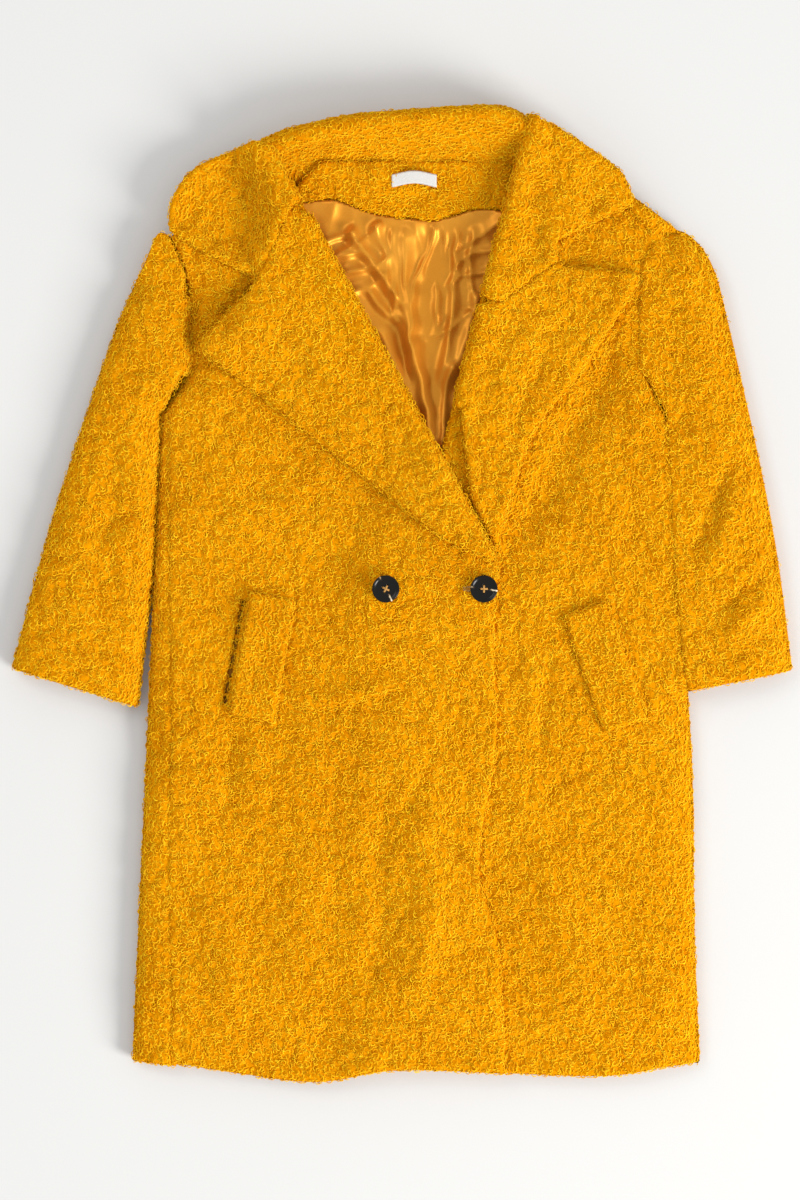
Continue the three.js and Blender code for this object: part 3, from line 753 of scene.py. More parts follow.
fold_at = np.array(joint_of["front_fold"]["pos_m"])
fold_axis = np.array(joint_of["front_fold"]["axis"])
fold_side = np.array([-fold_axis[1], fold_axis[0], 0.0])
fold_start = fold_at - fold_side * 0.020
fold_end = fold_at + fold_side * 0.026
fold_at_mm = fold_at * 1000
CHEST_Y = 176  # the fronts reach round the coat's sides below this


def past_fold(x, y):
    """How far a point lies beyond the line where the skirt folds back."""
    return (x - fold_at_mm[0]) * fold_side[0] + (y - fold_at_mm[1]) * fold_side[1]


def right_field(x, y):
    whole = np.maximum(inside_of(x, y, front_loops[:1]), inside_of(x, y, skirt_loops)) + 0.4
    wrapped = np.minimum(body_in(x, y), -230 - x)
    whole = np.maximum(whole, np.where(y < CHEST_Y, wrapped, -50))
    mouth = inside_of(x, y, front_loops[1:2])
    return np.minimum(whole, -(mouth - 5.2))


right = lay(
    "right_front",
    ("right_front_panel", "right_front_skirt"),
    WOOL,
    Cloth(
        right_field,
        (body_lo[0] - 6, hem_y - 18, 116, 432),
        step,
        lambda x, y: right_top(x, y) - CLOTH / 2 - side_seam(x, y),
        CLOTH,
        3.2,
        0.75,
    ),
    ("top",),
    lambda x, y: (inside_of(x, y, lapel_loops) < 14) & (inside_of(x, y, leaf_loops) < 14),
)


def left_field(x, y):
    whole = inside_of(x, y, left_loops[:1])
    wrapped = np.minimum(body_in(x, y) + spread(x, y), x - 240)
    whole = np.maximum(whole, np.where(y < CHEST_Y, wrapped, -50))
    return np.minimum(whole, -(inside_of(x, y, left_loops[1:2]) - 6.4))


def left_shown(x, y):
    """Where the left front can be seen, with the right one laid over it or folded back."""
    turned = (inside_of(x, y, left_lapel_loops) < 14) & (inside_of(x, y, left_leaf_loops) < 14)
    return turned & ((right_field(x, y) < 30) | (past_fold(x, y) > -20))


left = Cloth(
    left_field,
    (-36, hem_y - 14, body_hi[0] + 14, 432),
    step,
    lambda x, y: body_top(x, y) - CLOTH / 2,
    CLOTH,
    3.2,
    0.75,
)
ride("coat_body", lay("left_front", ("left_front_panel",), WOOL, left, ("top",), left_shown))

# Facing and lining of the right front, which show when it is folded back.
facing = layer(
    "right_facing",
    ("right_front_facing", "right_skirt_facing"),
    FACING,
    lambda x, y: right_top(x, y) - CLOTH - 1.9,
    step * 1.5,
    3.0,
    2.0,
    0.2,
    grow=0.4,
    sides=("low",),
    keep=lambda x, y: past_fold(x, y) > -40,
    close=0.85,
)


def lining_wrinkle(x, y, s):
    return s * (1.6 * noise(x + 0.4 * y, y, 34) + 0.9 * noise_b(x, y * 0.5, 17))


right_lining = layer(
    "right_lining",
    ("right_front_lining", "right_skirt_lining"),
    SATIN,
    lambda x, y: np.maximum(right_top(x, y) - 12.5 + lining_wrinkle(x, y, 0.7), 6.5),
    step * 1.8,
    1.0,
    0.8,
    grow=0.4,
)
bend("front_skirt", fold_start, fold_end, right, facing, right_lining)

left_facing = layer(
    "left_facing",
    ("left_front_facing",),
    FACING,
    lambda x, y: body_top(x, y) - CLOTH - 1.9,
    step * 2,
    3.0,
    2.0,
)
left_lining = layer(
    "left_lining",
    ("left_front_lining",),
    SATIN,
    lambda x, y: np.maximum(body_top(x, y) - 9.5 + lining_wrinkle(x, y, 0.6), 6.5),
    step * 2,
    1.0,
    0.8,
)
ride("coat_body", left_facing, left_lining)

# ---- lining inside the neck

neck_lo, neck_hi = box_of("back_neck_facing")
neck_mid = np.array([(neck_lo[0] + neck_hi[0]) / 2, neck_hi[1]])


# Folds in the lining below the neck, as lines from the middle of the facing's upper edge:
# (points, width, height).
NECK_FOLDS = [
    ([(-10, -62), (-3, -130), (0, -200), (5, -260)], 4.2, 6.0),
    ([(-20, -64), (-14, -120), (-16, -190)], 3.0, 3.4),
    ([(-66, -62), (-36, -104), (-8, -146), (2, -210)], 4.6, 6.2),
    ([(-104, -88), (-78, -78), (-48, -70)], 3.2, 4.6),
    ([(-104, -104), (-72, -98), (-38, -92)], 3.6, 5.2),
    ([(-96, -122), (-66, -118), (-34, -108), (-12, -84)], 3.8, 5.4),
    ([(-88, -142), (-50, -134), (-14, -106)], 3.4, 4.4),
    ([(-70, -132), (-30, -180), (14, -264)], 5.0, 5.6),
    ([(-46, -130), (-12, -170), (12, -226)], 3.2, 3.6),
    ([(104, -50), (74, -72), (46, -90)], 3.8, 5.4),
    ([(94, -82), (62, -94), (34, -112)], 3.8, 5.0),
    ([(84, -110), (50, -116), (22, -138)], 3.0, 3.6),
    ([(24, -62), (12, -106), (-4, -160)], 3.4, 5.0),
    ([(34, -62), (30, -120), (16, -190)], 3.0, 3.8),
    ([(68, -130), (52, -182), (28, -236)], 6.0, 5.6),
    ([(48, -62), (42, -130), (34, -190), (22, -254)], 4.2, 5.6),
    ([(66, -64), (60, -100), (62, -150)], 3.0, 3.4),
    ([(-30, -60), (-50, -84), (-78, -98)], 3.4, 4.6),
    ([(4, -180), (12, -250), (22, -320)], 4.4, 5.0),
    ([(40, -200), (30, -260), (26, -330)], 4.0, 4.6),
    ([(-14, -150), (10, -220), (20, -300)], 3.6, 4.2),
    ([(58, -150), (40, -172), (10, -186)], 3.4, 4.2),
    ([(-40, -60), (-24, -92), (-22, -140)], 3.6, 4.6),
]


def pleats(x, y):
    """Gathered satin: sharp folds that spread from the neck, with slack between them."""
    wx = x - neck_mid[0] + 4.5 * noise(x, y, 38) + 1.8 * noise_b(x, y, 15)
    wy = y - neck_mid[1] + 4.5 * noise_b(x, y, 42) + 1.8 * noise(x, y, 17)
    across = wx / (1 + 0.004 * np.abs(wy))
    z = 1.4 + 2.8 * noise(x, y, 46) - 4.6 * np.abs(noise(across * 1.5, wy * 0.55 + 40, 36))
    z = z + 3.4 * (0.5 - np.abs(noise_b(across * 1.3 + 0.3 * wy, wy * 0.5, 22))) + 0.5 * noise(x, y * 0.6, 10)
    for points, width, height in NECK_FOLDS:
        z = z + ridge(wx, wy, points, 1.6 * width, 0.9 * height, 0.3, 0.08)
        z = z + ridge(wx, wy, points, 0.5 * width, 0.22 * height, 0.3, 0.08)
        z = z - ridge(wx + 1.7 * width, wy + 1.7 * width, points, 1.2 * width, 0.35 * height, 0.3, 0.08)
    return z


def lining_height(x, y):
    """The lining's height: gathered near the neck, lifted under the neck facing."""
    gather = smooth((side_in(x, y) - 10) / 40) * (0.25 + 0.75 * smooth((y - 40) / 90))
    z = np.maximum(9.0 + pleats(x, y) * gather, 6.9)
    return z + 3.0 * smooth((inside_of(x, y, neck_loops) + 26) / 26)


def facing_height(x, y):
    z = 12.0 + 5 * smooth((y - neck_lo[1] - 10) / 50)
    return z + 2.4 * noise(x, y, 34) + 1.2 * noise_b(x, y, 16)


lining = layer(
    "back_lining_cloth", ("back_lining",), SATIN, lining_height, step * 0.7, 1.0, 0.8, low=True
)
neck_facing = layer(
    "neck_facing",
    ("back_neck_facing",),
    FACING,
    facing_height,
    step,
    4.0,
    2.4,
    0.4,
    grow=1.0,
    sides=("top",),
)
ride("coat_body", lining, neck_facing)

# ---- lapels and the collar's leaves


def lapel_sheet(name, loops, base, joint, grow, partner, folds, covers):
    """A lapel or a collar's leaf, rolled over along its joint's line and joined to its partner."""
    at = np.array(joint_of[joint]["pos_m"]) * 1000
    axis = np.array(joint_of[joint]["axis"])
    nx, ny = axis[1], -axis[0]
    ref = loops[0].mean(0)
    sign = 1.0 if (ref[0] - at[0]) * nx + (ref[1] - at[1]) * ny > 0 else -1.0

    def off(x, y):
        """How far a point lies from the roll line, on the sheet's side."""
        return sign * ((x - at[0]) * nx + (y - at[1]) * ny)

    ring = loops[0][off(loops[0][:, 0], loops[0][:, 1]) < 8]
    places = axis[0] * (ring[:, 0] - at[0]) + axis[1] * (ring[:, 1] - at[1])
    roll_from, roll_to = places.min(), places.max()

    def field(x, y):
        joined = smooth((inside_of(x, y, partner) + 12) / 9)
        d = inside_of(x, y, loops) + grow + (3.2 - grow) * joined
        t = axis[0] * (x - at[0]) + axis[1] * (y - at[1])
        ends = np.minimum(t - roll_from, roll_to - t)
        rolled = np.minimum(np.minimum(inside_of(x, y, loops) + 7.5, off(x, y) + 3.5), ends)
        return np.where(off(x, y) < 10, np.maximum(np.minimum(d, off(x, y) + 3.5), rolled), d)

    def middle(x, y):
        o = off(x, y)
        d = inside_of(x, y, loops)
        z = base(x, y, o) + 4.6
        z = z + 2.6 * np.exp(-(((o - 12) / 14) ** 2))
        z = z - 5.5 * (1 - smooth((o + 4) / 9))
        z = z + 1.2 * smooth(1 - d / 16) + 1.3 * noise(x, y, 55) + 0.7 * noise_b(x, y, 30)
        return folded(z, x, y, folds)

    lo, hi = loops[0].min(0) - 10, loops[0].max(0) + 10
    sheet = Cloth(field, (*lo, *hi), step, middle, 8.4, 4.6, 0.8)
    lay(name, covers, WOOL, sheet, ("top", "low"))
    normal = np.array([nx * sign, ny * sign, 0.0])
    start = at * MM - normal * 0.004
    end = at * MM + normal * 0.030
    bend(joint_of[joint]["child"], start, end, sheet)


lapel_sheet(
    "right_lapel_cloth",
    lapel_loops,
    lambda x, y, o: folded(
        right_top(x, y) + 2.0,
        x,
        y,
        [([(-120, 330), (-170, 270), (-226, 230)], 34, 8.0), (LAPEL_EDGE, 13, 3.4)],
    ),
    "right_revers_turn",
    0.0,
    leaf_loops,
    [
        ([(-200, 225), (-160, 190), (-120, 200)], 12, -3.2),
        ([(-120, 330), (-60, 200), (20, 90)], 18, 2.6),
        ([(-150, 300), (-110, 250), (-90, 210)], 10, -2.4),
        ([(-186, 262), (-170, 232), (-176, 205)], 9, 2.4),
    ],
    ("right_lapel", "right_lapel_facing"),
)
lapel_sheet(
    "left_lapel_cloth",
    left_lapel_loops,
    lambda x, y, o: folded(body_top(x, y), x, y, [(LEFT_ROLL, 22, 8.0)]),
    "left_revers_turn",
    0.0,
    left_leaf_loops,
    [
        ([(150, 300), (110, 220), (80, 120)], 16, 3.2),
        ([(200, 300), (150, 240), (110, 150)], 9, -2.6),
        ([(100, 285), (140, 262), (176, 270)], 8, -2.6),
        ([(118, 268), (150, 246), (190, 256)], 8, 2.2),
    ],
    ("left_lapel", "left_lapel_facing"),
)
lapel_sheet(
    "right_collar_cloth",
    leaf_loops,
    lambda x, y, o: np.maximum(
        37.5 - 21 * smooth((o - 14) / 40) - 0.10 * np.maximum(o, 0),
        right_top(x, y) + 0.5,
    ),
    "right_revers_turn",
    -2.6,
    lapel_loops,
    [
        ([(-150, 440), (-165, 390), (-160, 340)], 12, -3.4),
        ([(-195, 430), (-205, 390), (-200, 350)], 14, 2.2),
        ([(-128, 420), (-132, 380), (-126, 340)], 8, 2.0),
    ],
    ("right_under_collar", "right_top_collar"),
)
lapel_sheet(
    "left_collar_cloth",
    left_leaf_loops,
    lambda x, y, o: body_top(x, y) * 0.35 + 17 + 10 * smooth((y - 380) / 90),
    "left_revers_turn",
    -2.6,
    left_lapel_loops,
    [
        ([(170, 450), (180, 400), (150, 340)], 14, 3.6),
        ([(140, 430), (140, 380), (130, 330)], 10, -3.4),
        ([(222, 398), (196, 360), (176, 336)], 10, 2.4),
        ([(208, 410), (188, 376), (166, 352)], 8, -2.2),
    ],
    ("left_under_collar", "left_top_collar"),
)

# ---- collar behind the neck


def collar_back():
    """The collar behind the neck: its stand rises to a crest, and its fall lies behind it."""
    lo, hi = box_of("collar_stand", "collar_fall")
    across = np.linspace(0, 1, 120)
    xs = lo[0] - 24 + (hi[0] - lo[0] + 44) * across
    seam_line = np.interp(xs, [-150, -118, -79, 0, 60, 118, 150], [415, 437, 450, 452, 447, 440, 425])
    crest_x = [-150, -126, -103, -57, -20, 81, 112, 126, 150]
    crest = np.interp(xs, crest_x, [446, 459, 464, 475, 479, 486, 485, 476, 456])
    crest = np.convolve(np.pad(crest, 6, "edge"), np.ones(13) / 13, "valid")
    top = 45.0 + 1.5 * np.sin(across * 7) - 8 * smooth((np.abs(xs) - 104) / 34)
    rows = []
    along = np.linspace(0, 1, 46)
    for x, ys, yc, zt in zip(xs, seam_line, crest, top):
        stand = [(ys - 22, 9.0), (ys - 5, 13.0), (ys + 1, 20.0), (ys + (yc - ys) * 0.5, 33.0)]
        roll = [(yc - 8, zt - 2.5), (yc - 1, zt + 0.6), (yc + 5, zt - 4), (yc + 8, zt - 15)]
        fall = [(yc + 7, 14), (yc + 3, 5.5), (yc - 9, 3.2), (yc - 26, 3.2)]
        pts = np.array(stand + roll + fall)
        t = np.linspace(0, 1, len(pts))
        y = np.interp(along, t, pts[:, 0])
        z = np.interp(along, t, pts[:, 1])
        for _ in range(3):
            y[1:-1] = (y[:-2] + 2 * y[1:-1] + y[2:]) / 4
            z[1:-1] = (z[:-2] + 2 * z[1:-1] + z[2:]) / 4
        rows.append(np.stack([np.full(y.shape, x), y, z], 1))
    mid = np.array(rows)
    mid[..., 2] += 0.8 * noise(mid[..., 0], mid[..., 1] * 2 + mid[..., 2], 30)
    du = np.gradient(mid, axis=0)
    dv = np.gradient(mid, axis=1)
    normal = np.cross(du, dv)
    normal /= np.linalg.norm(normal, axis=2)[..., None]
    a, b = mid.shape[:2]
    edge = np.minimum.outer(np.minimum(np.arange(a), a - 1 - np.arange(a)), np.full(b, 99))
    edge = np.minimum(edge, np.minimum(np.arange(b), b - 1 - np.arange(b))[None, :])
    half = 3.0 * np.sqrt(np.clip(1 - (1 - np.clip(edge / 2.0, 0, 1)) ** 2, 0, 1))
    ids = np.arange(a * b).reshape(a, b)
    under = ids.copy()
    inner = edge > 0
    under[inner] = a * b + np.arange(inner.sum())
    out = normal * half[..., None]
    verts = np.concatenate([(mid + out).reshape(-1, 3), (mid - out)[inner]])

    def quads(i):
        return np.stack([i[:-1, :-1], i[1:, :-1], i[1:, 1:], i[:-1, 1:]], 2).reshape(-1, 4)

    lengths = np.linalg.norm(np.diff(mid, axis=1), axis=2).sum(1).mean()
    widths = np.linalg.norm(np.diff(mid, axis=0), axis=2).sum(0).mean()
    sheet = Sheet(verts, quads(ids), quads(under)[:, ::-1], lengths * widths)
    sheet.size = (widths * MM, lengths * MM)
    return sheet


collar = collar_back()
lay("collar_back", ("collar_stand", "collar_fall"), WOOL, collar, ("top", "low"))
for ob in (collar.ob, *collar.pile):
    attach(ob, "coat_body")

# ---- sleeves
ARM_Y = 262.0  # the middle of each armhole


def sleeve(prefix, side, creases):
    """A sleeve beside the body: an upper and a lower sheet, with a tube of lining between."""
    names = (f"{prefix}_top_sleeve", f"{prefix}_under_sleeve")
    loops = plan(names[0])[:1]
    outline = segments(loops)
    mid = (outline[:, :2] + outline[:, 2:]) / 2
    run, climb = np.abs(outline[:, 2:] - outline[:, :2]).T
    cuff_y = box_of(names[0])[0][1]
    to_body = np.abs(inside_of(mid[:, 0], mid[:, 1], back_loops))
    at_body = (to_body < 7) & (mid[:, 1] > cuff_y + 300)
    cuff = (mid[:, 1] < cuff_y + 45) & (climb / np.maximum(run, 1e-6) < 1)
    outer_side = np.abs(mid[:, 0]) > np.interp(mid[:, 1], [cuff_y, 100, 300], [345, 315, 275])
    sides = outline[~(at_body | cuff)]
    outer = outline[outer_side & ~cuff]
    inner = outline[~(at_body | cuff | outer_side)]

    def rise(x, y):
        low = 0.96 if side > 0 else 0.30 + 0.66 * smooth((y - 284) / 36)
        radius = 20 if side > 0 else 30
        return dome(to_segments(x, y, outer), 34, 0.40) * dome(to_segments(x, y, inner), radius, low)

    def field(x, y):
        """The sleeve's outline, with the part that is tucked under the front."""
        d = inside_of(x, y, loops) + (0.3 if side < 0 else 3.2)
        tucked = 34 - np.abs(x - side * 214 - 15 * (side > 0))
        d = np.maximum(d, np.minimum(tucked, 40 - np.abs(y - ARM_Y)))
        if side > 0:
            slant = (406 - y - 0.73 * (x - 236)) / 1.24
            d = np.maximum(d, np.minimum(np.minimum(slant, y - 290), np.minimum(x - 205, 300 - x)))
        return d

    def top_z(x, y):
        tucked = smooth((inside_of(x, y, back_loops) + (-1 if side > 0 else 5)) / 12)
        z = 27.5 * rise(x, y)
        z = z * (1 - 0.12 * smooth((40 - (y - cuff_y)) / 60))
        z = folded(z, x, y, creases) + 1.2 * noise(x, y, 60) + 0.7 * noise_b(x, y, 33)
        return z * (1 - tucked) + (13.0 if side > 0 else 9.0) * tucked

    def lining_z(x, y, way):
        """The tube's height: way is 1 for its upper half and -1 for its lower half."""
        high = top_z(x, y) - shell - 1.2
        low_level = shell + 1.0
        open_by = dome(np.maximum(to_segments(x, y, sides) - 5.4, 0), 16)
        return (high + low_level) / 2 + way * (np.maximum((high - low_level) / 2, 0.4) * open_by)

    shell = 4.6
    top = Cloth(
        field,
        around(names[0], pad=48),
        step,
        lambda x, y: top_z(x, y) - shell / 2,
        shell,
        3.0,
        0.75,
    )
    low = Cloth(
        lambda x, y: inside_of(x, y, loops) + 0.3,
        around(names[0]),
        step * 1.4,
        lambda x, y: 8.2 * (1 - dome(to_segments(x, y, sides), 15)) + shell / 2 + 0.1,
        shell,
        3.0,
        0.1,
    )
    lay(f"{prefix}_sleeve_top", names[:1], WOOL, top)
    lay(f"{prefix}_sleeve_under", names[1:], WOOL, low)
    shown = lambda x, y: inside_of(x, y, back_loops) < 6
    top.pile = pile(f"{prefix}_sleeve_top", top, ("top",), SPACING, shown)
    edge = lambda x, y: inside_of(x, y, loops) < 13
    low.pile = pile(f"{prefix}_sleeve_under", low, ("top", "low"), SPACING, edge)
    lining_end = box_of(f"{prefix}_sleeve_lining")[0][1]
    linings = []
    for tag, way in (("over", 1), ("under", -1)):
        sheet = Cloth(
            lambda x, y: np.minimum(inside_of(x, y, loops) - 5.6, y - lining_end),
            around(names[0]),
            step * 2,
            lambda x, y: lining_z(x, y, way),
            0.9,
            0.8,
        )
        covers = (f"{prefix}_sleeve_lining",) if way > 0 else ()
        linings.append(lay(f"{prefix}_sleeve_lining_{tag}", covers, SATIN, sheet))
    pivot = np.array(joint_of[f"{prefix}_sleeve_swing"]["pos_m"]) * 1000
    out = np.array([side * 0.9, -0.43, 0.0])
    centre = np.array([pivot[0] - side * 14, ARM_Y, 14.0])
    start, end = (centre - out * 26) * MM, (centre + out * 34) * MM
    bend(f"{prefix}_sleeve", start, end, top, low, *linings)


sleeve(
    "right",
    -1,
    [
        ([(-235, 250), (-270, 180), (-285, 110)], 15, 2.6),
        ([(-300, 200), (-290, 120), (-310, 30)], 12, -2.2),
        ([(-330, 110), (-320, 10), (-345, -80)], 18, 3.0),
        ([(-262, 90), (-300, 60), (-340, 70)], 10, -2.4),
        ([(-262, 76), (-300, 44), (-344, 52)], 9, 2.2),
    ],
)
sleeve(
    "left",
    1,
    [
        ([(300, 300), (305, 200), (320, 110)], 15, 2.4),
        ([(345, 150), (322, 90), (298, 26)], 9, -4.4),
        ([(352, 116), (334, 60), (306, 2)], 10, 3.6),
        ([(350, 0), (345, -60), (350, -110)], 14, 2.4),
        ([(380, 28), (352, 0), (318, -28)], 7, -3.0),
        ([(386, -2), (356, -26), (322, -52)], 7, 2.8),
        ([(390, -36), (362, -52), (330, -80)], 6, -2.6),
    ],
)

# ---- pockets


def pocket(prefix, base):
    """A pocket's welt, and the two sides of its bag under the front."""
    name = f"{prefix}_pocket_welt"
    mouth = plan(f"{prefix}_front_panel")[1:2]
    bag_node = f"{prefix}_pocket_bag"
    bag_loops = plan(bag_node, low=True)[:1]

    def middle(x, y):
        toward = to_segments(x, y, segments(mouth))
        return base(x, y) + 2.4 + 2.6 * np.exp(-((toward / 16) ** 2)) + 0.5 * noise(x, y, 24)

    size = step * 0.8
    both = ("top", "low")
    welt = layer(
        f"{prefix}_welt", (name,), WOOL, middle, size, 6.0, 3.4, 0.3, 1.2, sides=both, close=0.95
    )
    ride("coat_body", welt)

    def bag_side(tag, node, drop, inside):
        height = lambda x, y: base(x, y) - drop + 0.5 * noise(x, y, 30)
        sheet = Cloth(inside, around(node), step * 1.5, height, 0.9, 0.8)
        ride("coat_body", lay(f"{prefix}_bag_{tag}", (node,), SATIN, sheet))

    whole = lambda x, y: inside_of(x, y, bag_loops) - 0.5
    pierced = lambda x, y: np.minimum(whole(x, y), -inside_of(x, y, mouth) - 0.5)
    bag_side("top", f"{bag_node}_top", 6.9, pierced)
    bag_side("back", bag_node, 10.5, whole)


pocket("right", right_top)
pocket("left", body_top)

# ---- label


def label_height(x, y):
    return 19.6 + 3.0 * smooth((y - neck_lo[1] - 10) / 50) + 0.8 * np.cos((x - neck_mid[0]) / 12)


label = layer("label", ("neck_label",), LABEL, label_height, 1.0, 1.1, 0.8, grow=0.6)
ride("coat_body", label)

# ---- buttons


def closed_faces(count, turns):
    """Faces over count rings of points, closed by a middle point at each end."""
    faces = []
    last = (count - 1) * turns
    for k in range(turns):
        n = (k + 1) % turns
        for i in range(0, last, turns):
            faces.append((i + k, i + n, i + turns + n, i + turns + k))
        faces.append((count * turns, n, k))
        faces.append((count * turns + 1, last + k, last + n))
    return faces


def lathe(profile, turns=64):
    """A turned solid around Z, closed at both ends."""
    a = np.linspace(0, 2 * math.pi, turns, endpoint=False)
    r, z = np.array(profile).T
    rings = np.stack([np.outer(r, np.cos(a)), np.outer(r, np.sin(a)), np.repeat(z[:, None], turns, 1)], 2)
    verts = np.concatenate([rings.reshape(-1, 3), [[0, 0, z[0]], [0, 0, z[-1]]]])
    return verts, closed_faces(len(profile), turns)


def tube(path, radius, turns=8):
    """A closed round strand along a path."""
    path = np.array(path, float)
    along = np.gradient(path, axis=0)
    along /= np.maximum(np.linalg.norm(along, axis=1), 1e-9)[:, None]
    up = np.where(np.abs(along[:, 2:]) < 0.95, [[0.0, 0.0, 1.0]], [[1.0, 0.0, 0.0]])
    side = np.cross(along, up)
    side /= np.linalg.norm(side, axis=1)[:, None]
    other = np.cross(side, along)
    a = np.linspace(0, 2 * math.pi, turns, endpoint=False)
    ring = np.cos(a)[None, :, None] * side[:, None] + np.sin(a)[None, :, None] * other[:, None]
    verts = np.concatenate([(path[:, None] + radius * ring).reshape(-1, 3), path[:1], path[-1:]])
    return verts, [f[::-1] for f in closed_faces(len(path), turns)]


def poly_object(name, pieces, material):
    """One object of several solids, each given as (points, faces)."""
    verts, faces, base = [], [], 0
    for v, f in pieces:
        verts.append(v)
        faces += [tuple(i + base for i in face) for face in f]
        base += len(v)
    me = bpy.data.meshes.new(name)
    me.from_pydata((np.concatenate(verts) * MM).tolist(), [], faces)
    me.polygons.foreach_set("use_smooth", np.ones(len(faces), bool))
    return add_object(name, me, material)


def turned(degrees):
    """The matrix of a turn about Z."""
    a = math.radians(degrees)
    return np.array([[math.cos(a), -math.sin(a), 0], [math.sin(a), math.cos(a), 0], [0, 0, 1]])


def button(node, body, turn, pale):
    """A dished four-hole button with crossed thread, turned and with its pale streak at an angle."""
    lo, hi = box_of(node)
    centre = np.array([(lo[0] + hi[0]) / 2, (lo[1] + hi[1]) / 2, lo[2]])
    r, t = (hi[0] - lo[0]) / 2, hi[2] - lo[2]
    under = [(r * 0.50, 0.2), (r * 0.80, 0.5), (r - 1.0, t * 0.2), (r - 0.25, t * 0.42)]
    rim = [(r, t * 0.62), (r - 0.1, t * 0.8), (r - 0.5, t - 0.2), (r - 1.1, t), (r - 1.8, t - 0.12)]
    dish = [(r - 2.5, t - 0.6), (r - 3.3, t - 1.15), (r - 4.6, t - 1.4)]
    floor = [(r * 0.40, t - 1.5), (r * 0.15, t - 1.5)]
    disc = poly_object(f"{node}_disc", [lathe(under + rim + dish + floor)], button_mat)
    tools = []
    for sx in (-1, 1):
        for sy in (-1, 1):
            v, f = lathe([(1.15, -3.0), (1.15, t + 3.0)], 20)
            tools.append((v + [sx * 2.5, sy * 2.5, 0.0], f))
    cutter = poly_object(f"{node}_cutter", tools, button_mat)
    cut = disc.modifiers.new("holes", "BOOLEAN")
    cut.object = cutter
    cut.solver = "EXACT"
    bpy.context.view_layer.update()
    graph = bpy.context.evaluated_depsgraph_get()
    made = bpy.data.meshes.new_from_object(disc.evaluated_get(graph))
    disc.modifiers.clear()
    disc.data = made
    bpy.data.objects.remove(cutter)
    spin = turned(turn)
    co = np.zeros(len(made.vertices) * 3, np.float32)
    made.vertices.foreach_get("co", co)
    co = co.reshape(-1, 3) @ spin.T
    face = co / MM / r @ turned(pale)
    grain = made.attributes.new("grain", "FLOAT_VECTOR", "POINT")
    grain.data.foreach_set("vector", face.ravel().astype(np.float32))
    co = co + centre * MM
    made.vertices.foreach_set("co", co.ravel().astype(np.float32))
    made.update()
    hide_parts(node)
    strands = []
    for s in (-1, 1):
        for k in range(3):
            shift = (k - 1) * 0.55
            q = np.linspace(-1, 1, 15)
            z = t - 1.5 + 0.95 * np.sqrt(np.clip(1 - q**4, 0, 1)) + 0.25 * (s > 0) + 0.12 * (k == 1)
            line = np.stack([q * 2.5 + shift * s * 0.7, q * 2.5 * s - shift * 0.7, z], 1)
            foot = [[0, 0, -3.4]]
            path = np.concatenate([line[:1] + foot, line, line[-1:] + foot])
            strands.append(tube(path @ spin.T + centre, 0.42))
    a = np.linspace(0, 9 * math.pi, 90)
    shank = np.stack([1.5 * np.cos(a), 1.5 * np.sin(a), 0.1 - a / a[-1] * 3.2], 1)
    strands.append(tube(shank + centre, 0.45, 6))
    core, core_faces = lathe([(1.5, -3.6), (1.5, 0.4)], 16)
    strands.append((core + centre, core_faces))
    thread = poly_object(f"{node}_stitches", strands, thread_mat)
    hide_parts(f"{node}_thread")
    for ob in (disc, thread):
        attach(ob, body)


button("front_button", "button_front", 45, -8)
button("show_button", "button_show", 20, -62)
button("inner_button", "coat_body", 70, 30)

# ---- buttonhole


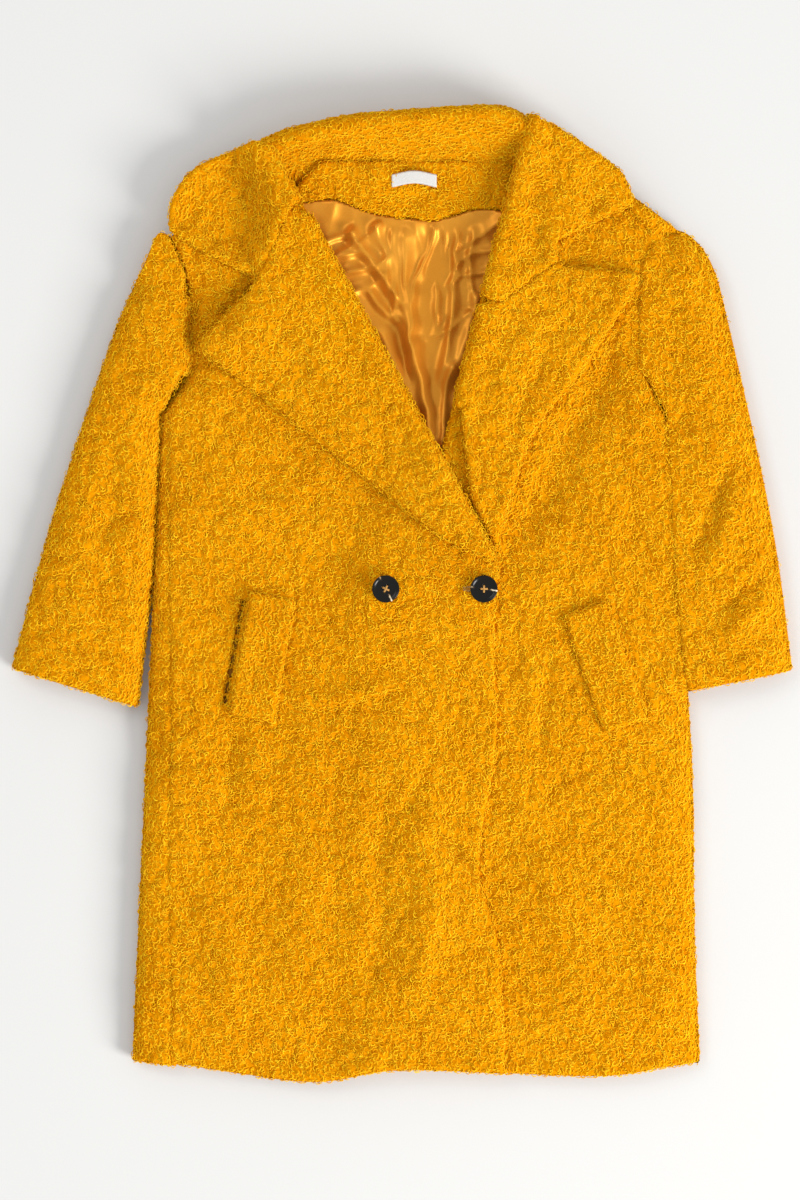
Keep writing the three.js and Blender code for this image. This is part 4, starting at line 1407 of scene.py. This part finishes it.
def buttonhole():
    """Close stitches on both sides of the buttonhole, left out under the button's shank."""
    lo, hi = box_of("front_button")
    y = (lo[1] + hi[1]) / 2
    shank = (lo[0] + hi[0]) / 2
    x0, x1 = lo[0] - 5.5, hi[0] - 4
    local = np.random.default_rng(31)
    pieces = []
    count = 46
    for i in range(count):
        t = (i + 0.5) / count
        x = x0 + (x1 - x0) * t
        if abs(x - shank) < 7.5:
            continue
        for s in (-1, 1):
            root = np.array([x, y + s * 0.7])
            tip = np.array([x + local.uniform(-0.3, 0.3), y + s * local.uniform(2.4, 3.1)])
            if t < 0.06:
                tip = np.array([x - 2.2, y + s * (0.6 + 30 * t)])
            q = np.linspace(0, 1, 6)[:, None]
            line = root + (tip - root) * q
            z = right_top(line[:, 0], line[:, 1]) + 0.9 + 0.8 * np.sin(math.pi * q[:, 0])
            pieces.append(tube(np.column_stack([line, z]), 0.36, 6))
    ob = poly_object("buttonhole_stitches", pieces, thread_mat)
    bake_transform(ob)


buttonhole()

# ---- floor, light and camera


def lamp(name, place, size, power):
    """A square area lamp that looks at the middle of the floor."""
    light = bpy.data.lights.new(name, "AREA")
    light.shape = "RECTANGLE"
    light.size = size
    light.size_y = size
    light.energy = power
    light.color = (1.0, 0.985, 0.96)
    ob = bpy.data.objects.new(name, light)
    bpy.context.scene.collection.objects.link(ob)
    ob.location = place
    ob.rotation_euler = (-Vector(place)).to_track_quat("-Z", "Y").to_euler()


def stage():
    mid = (np.array(cad_low) + np.array(cad_high)) / 2
    corners = np.array([(-3, -3, 0), (3, -3, 0), (3, 3, 0), (-3, 3, 0)]) * 1000 + [0, 0, -0.6]
    floor = mesh_object("backdrop", corners, [(0, 1, 2, 3)], floor_material(), False)
    world = bpy.data.worlds.new("studio")
    bpy.context.scene.world = world
    world.use_nodes = True
    sky = world.node_tree.nodes["Background"].inputs
    sky["Color"].default_value = (0.97, 0.985, 1.0, 1.0)
    sky["Strength"].default_value = 0.80
    lamp("key", (4.2, -2.7, 2.5), 2.2, 390)
    lamp("fill", (-2.4, 2.0, 3.2), 2.2, 45)
    lens = bpy.data.cameras.new("camera")
    distance = 3.0
    coat_top = 0.02
    span = (cad_high[1] - cad_low[1]) * 1.2217  # what the picture's height takes in
    lens.sensor_fit = "VERTICAL"
    lens.sensor_height = 36
    lens.sensor_width = 24
    lens.lens = 36 * (distance - coat_top) / span
    lens.clip_end = 50
    cam = bpy.data.objects.new("camera", lens)
    bpy.context.scene.collection.objects.link(cam)
    cam.location = (mid[0] - 0.0005, mid[1] - 0.0087, distance)
    bpy.context.scene.camera = cam


stage()
bpy.context.scene.view_settings.view_transform = "Standard"
bpy.context.scene.view_settings.look = "None"
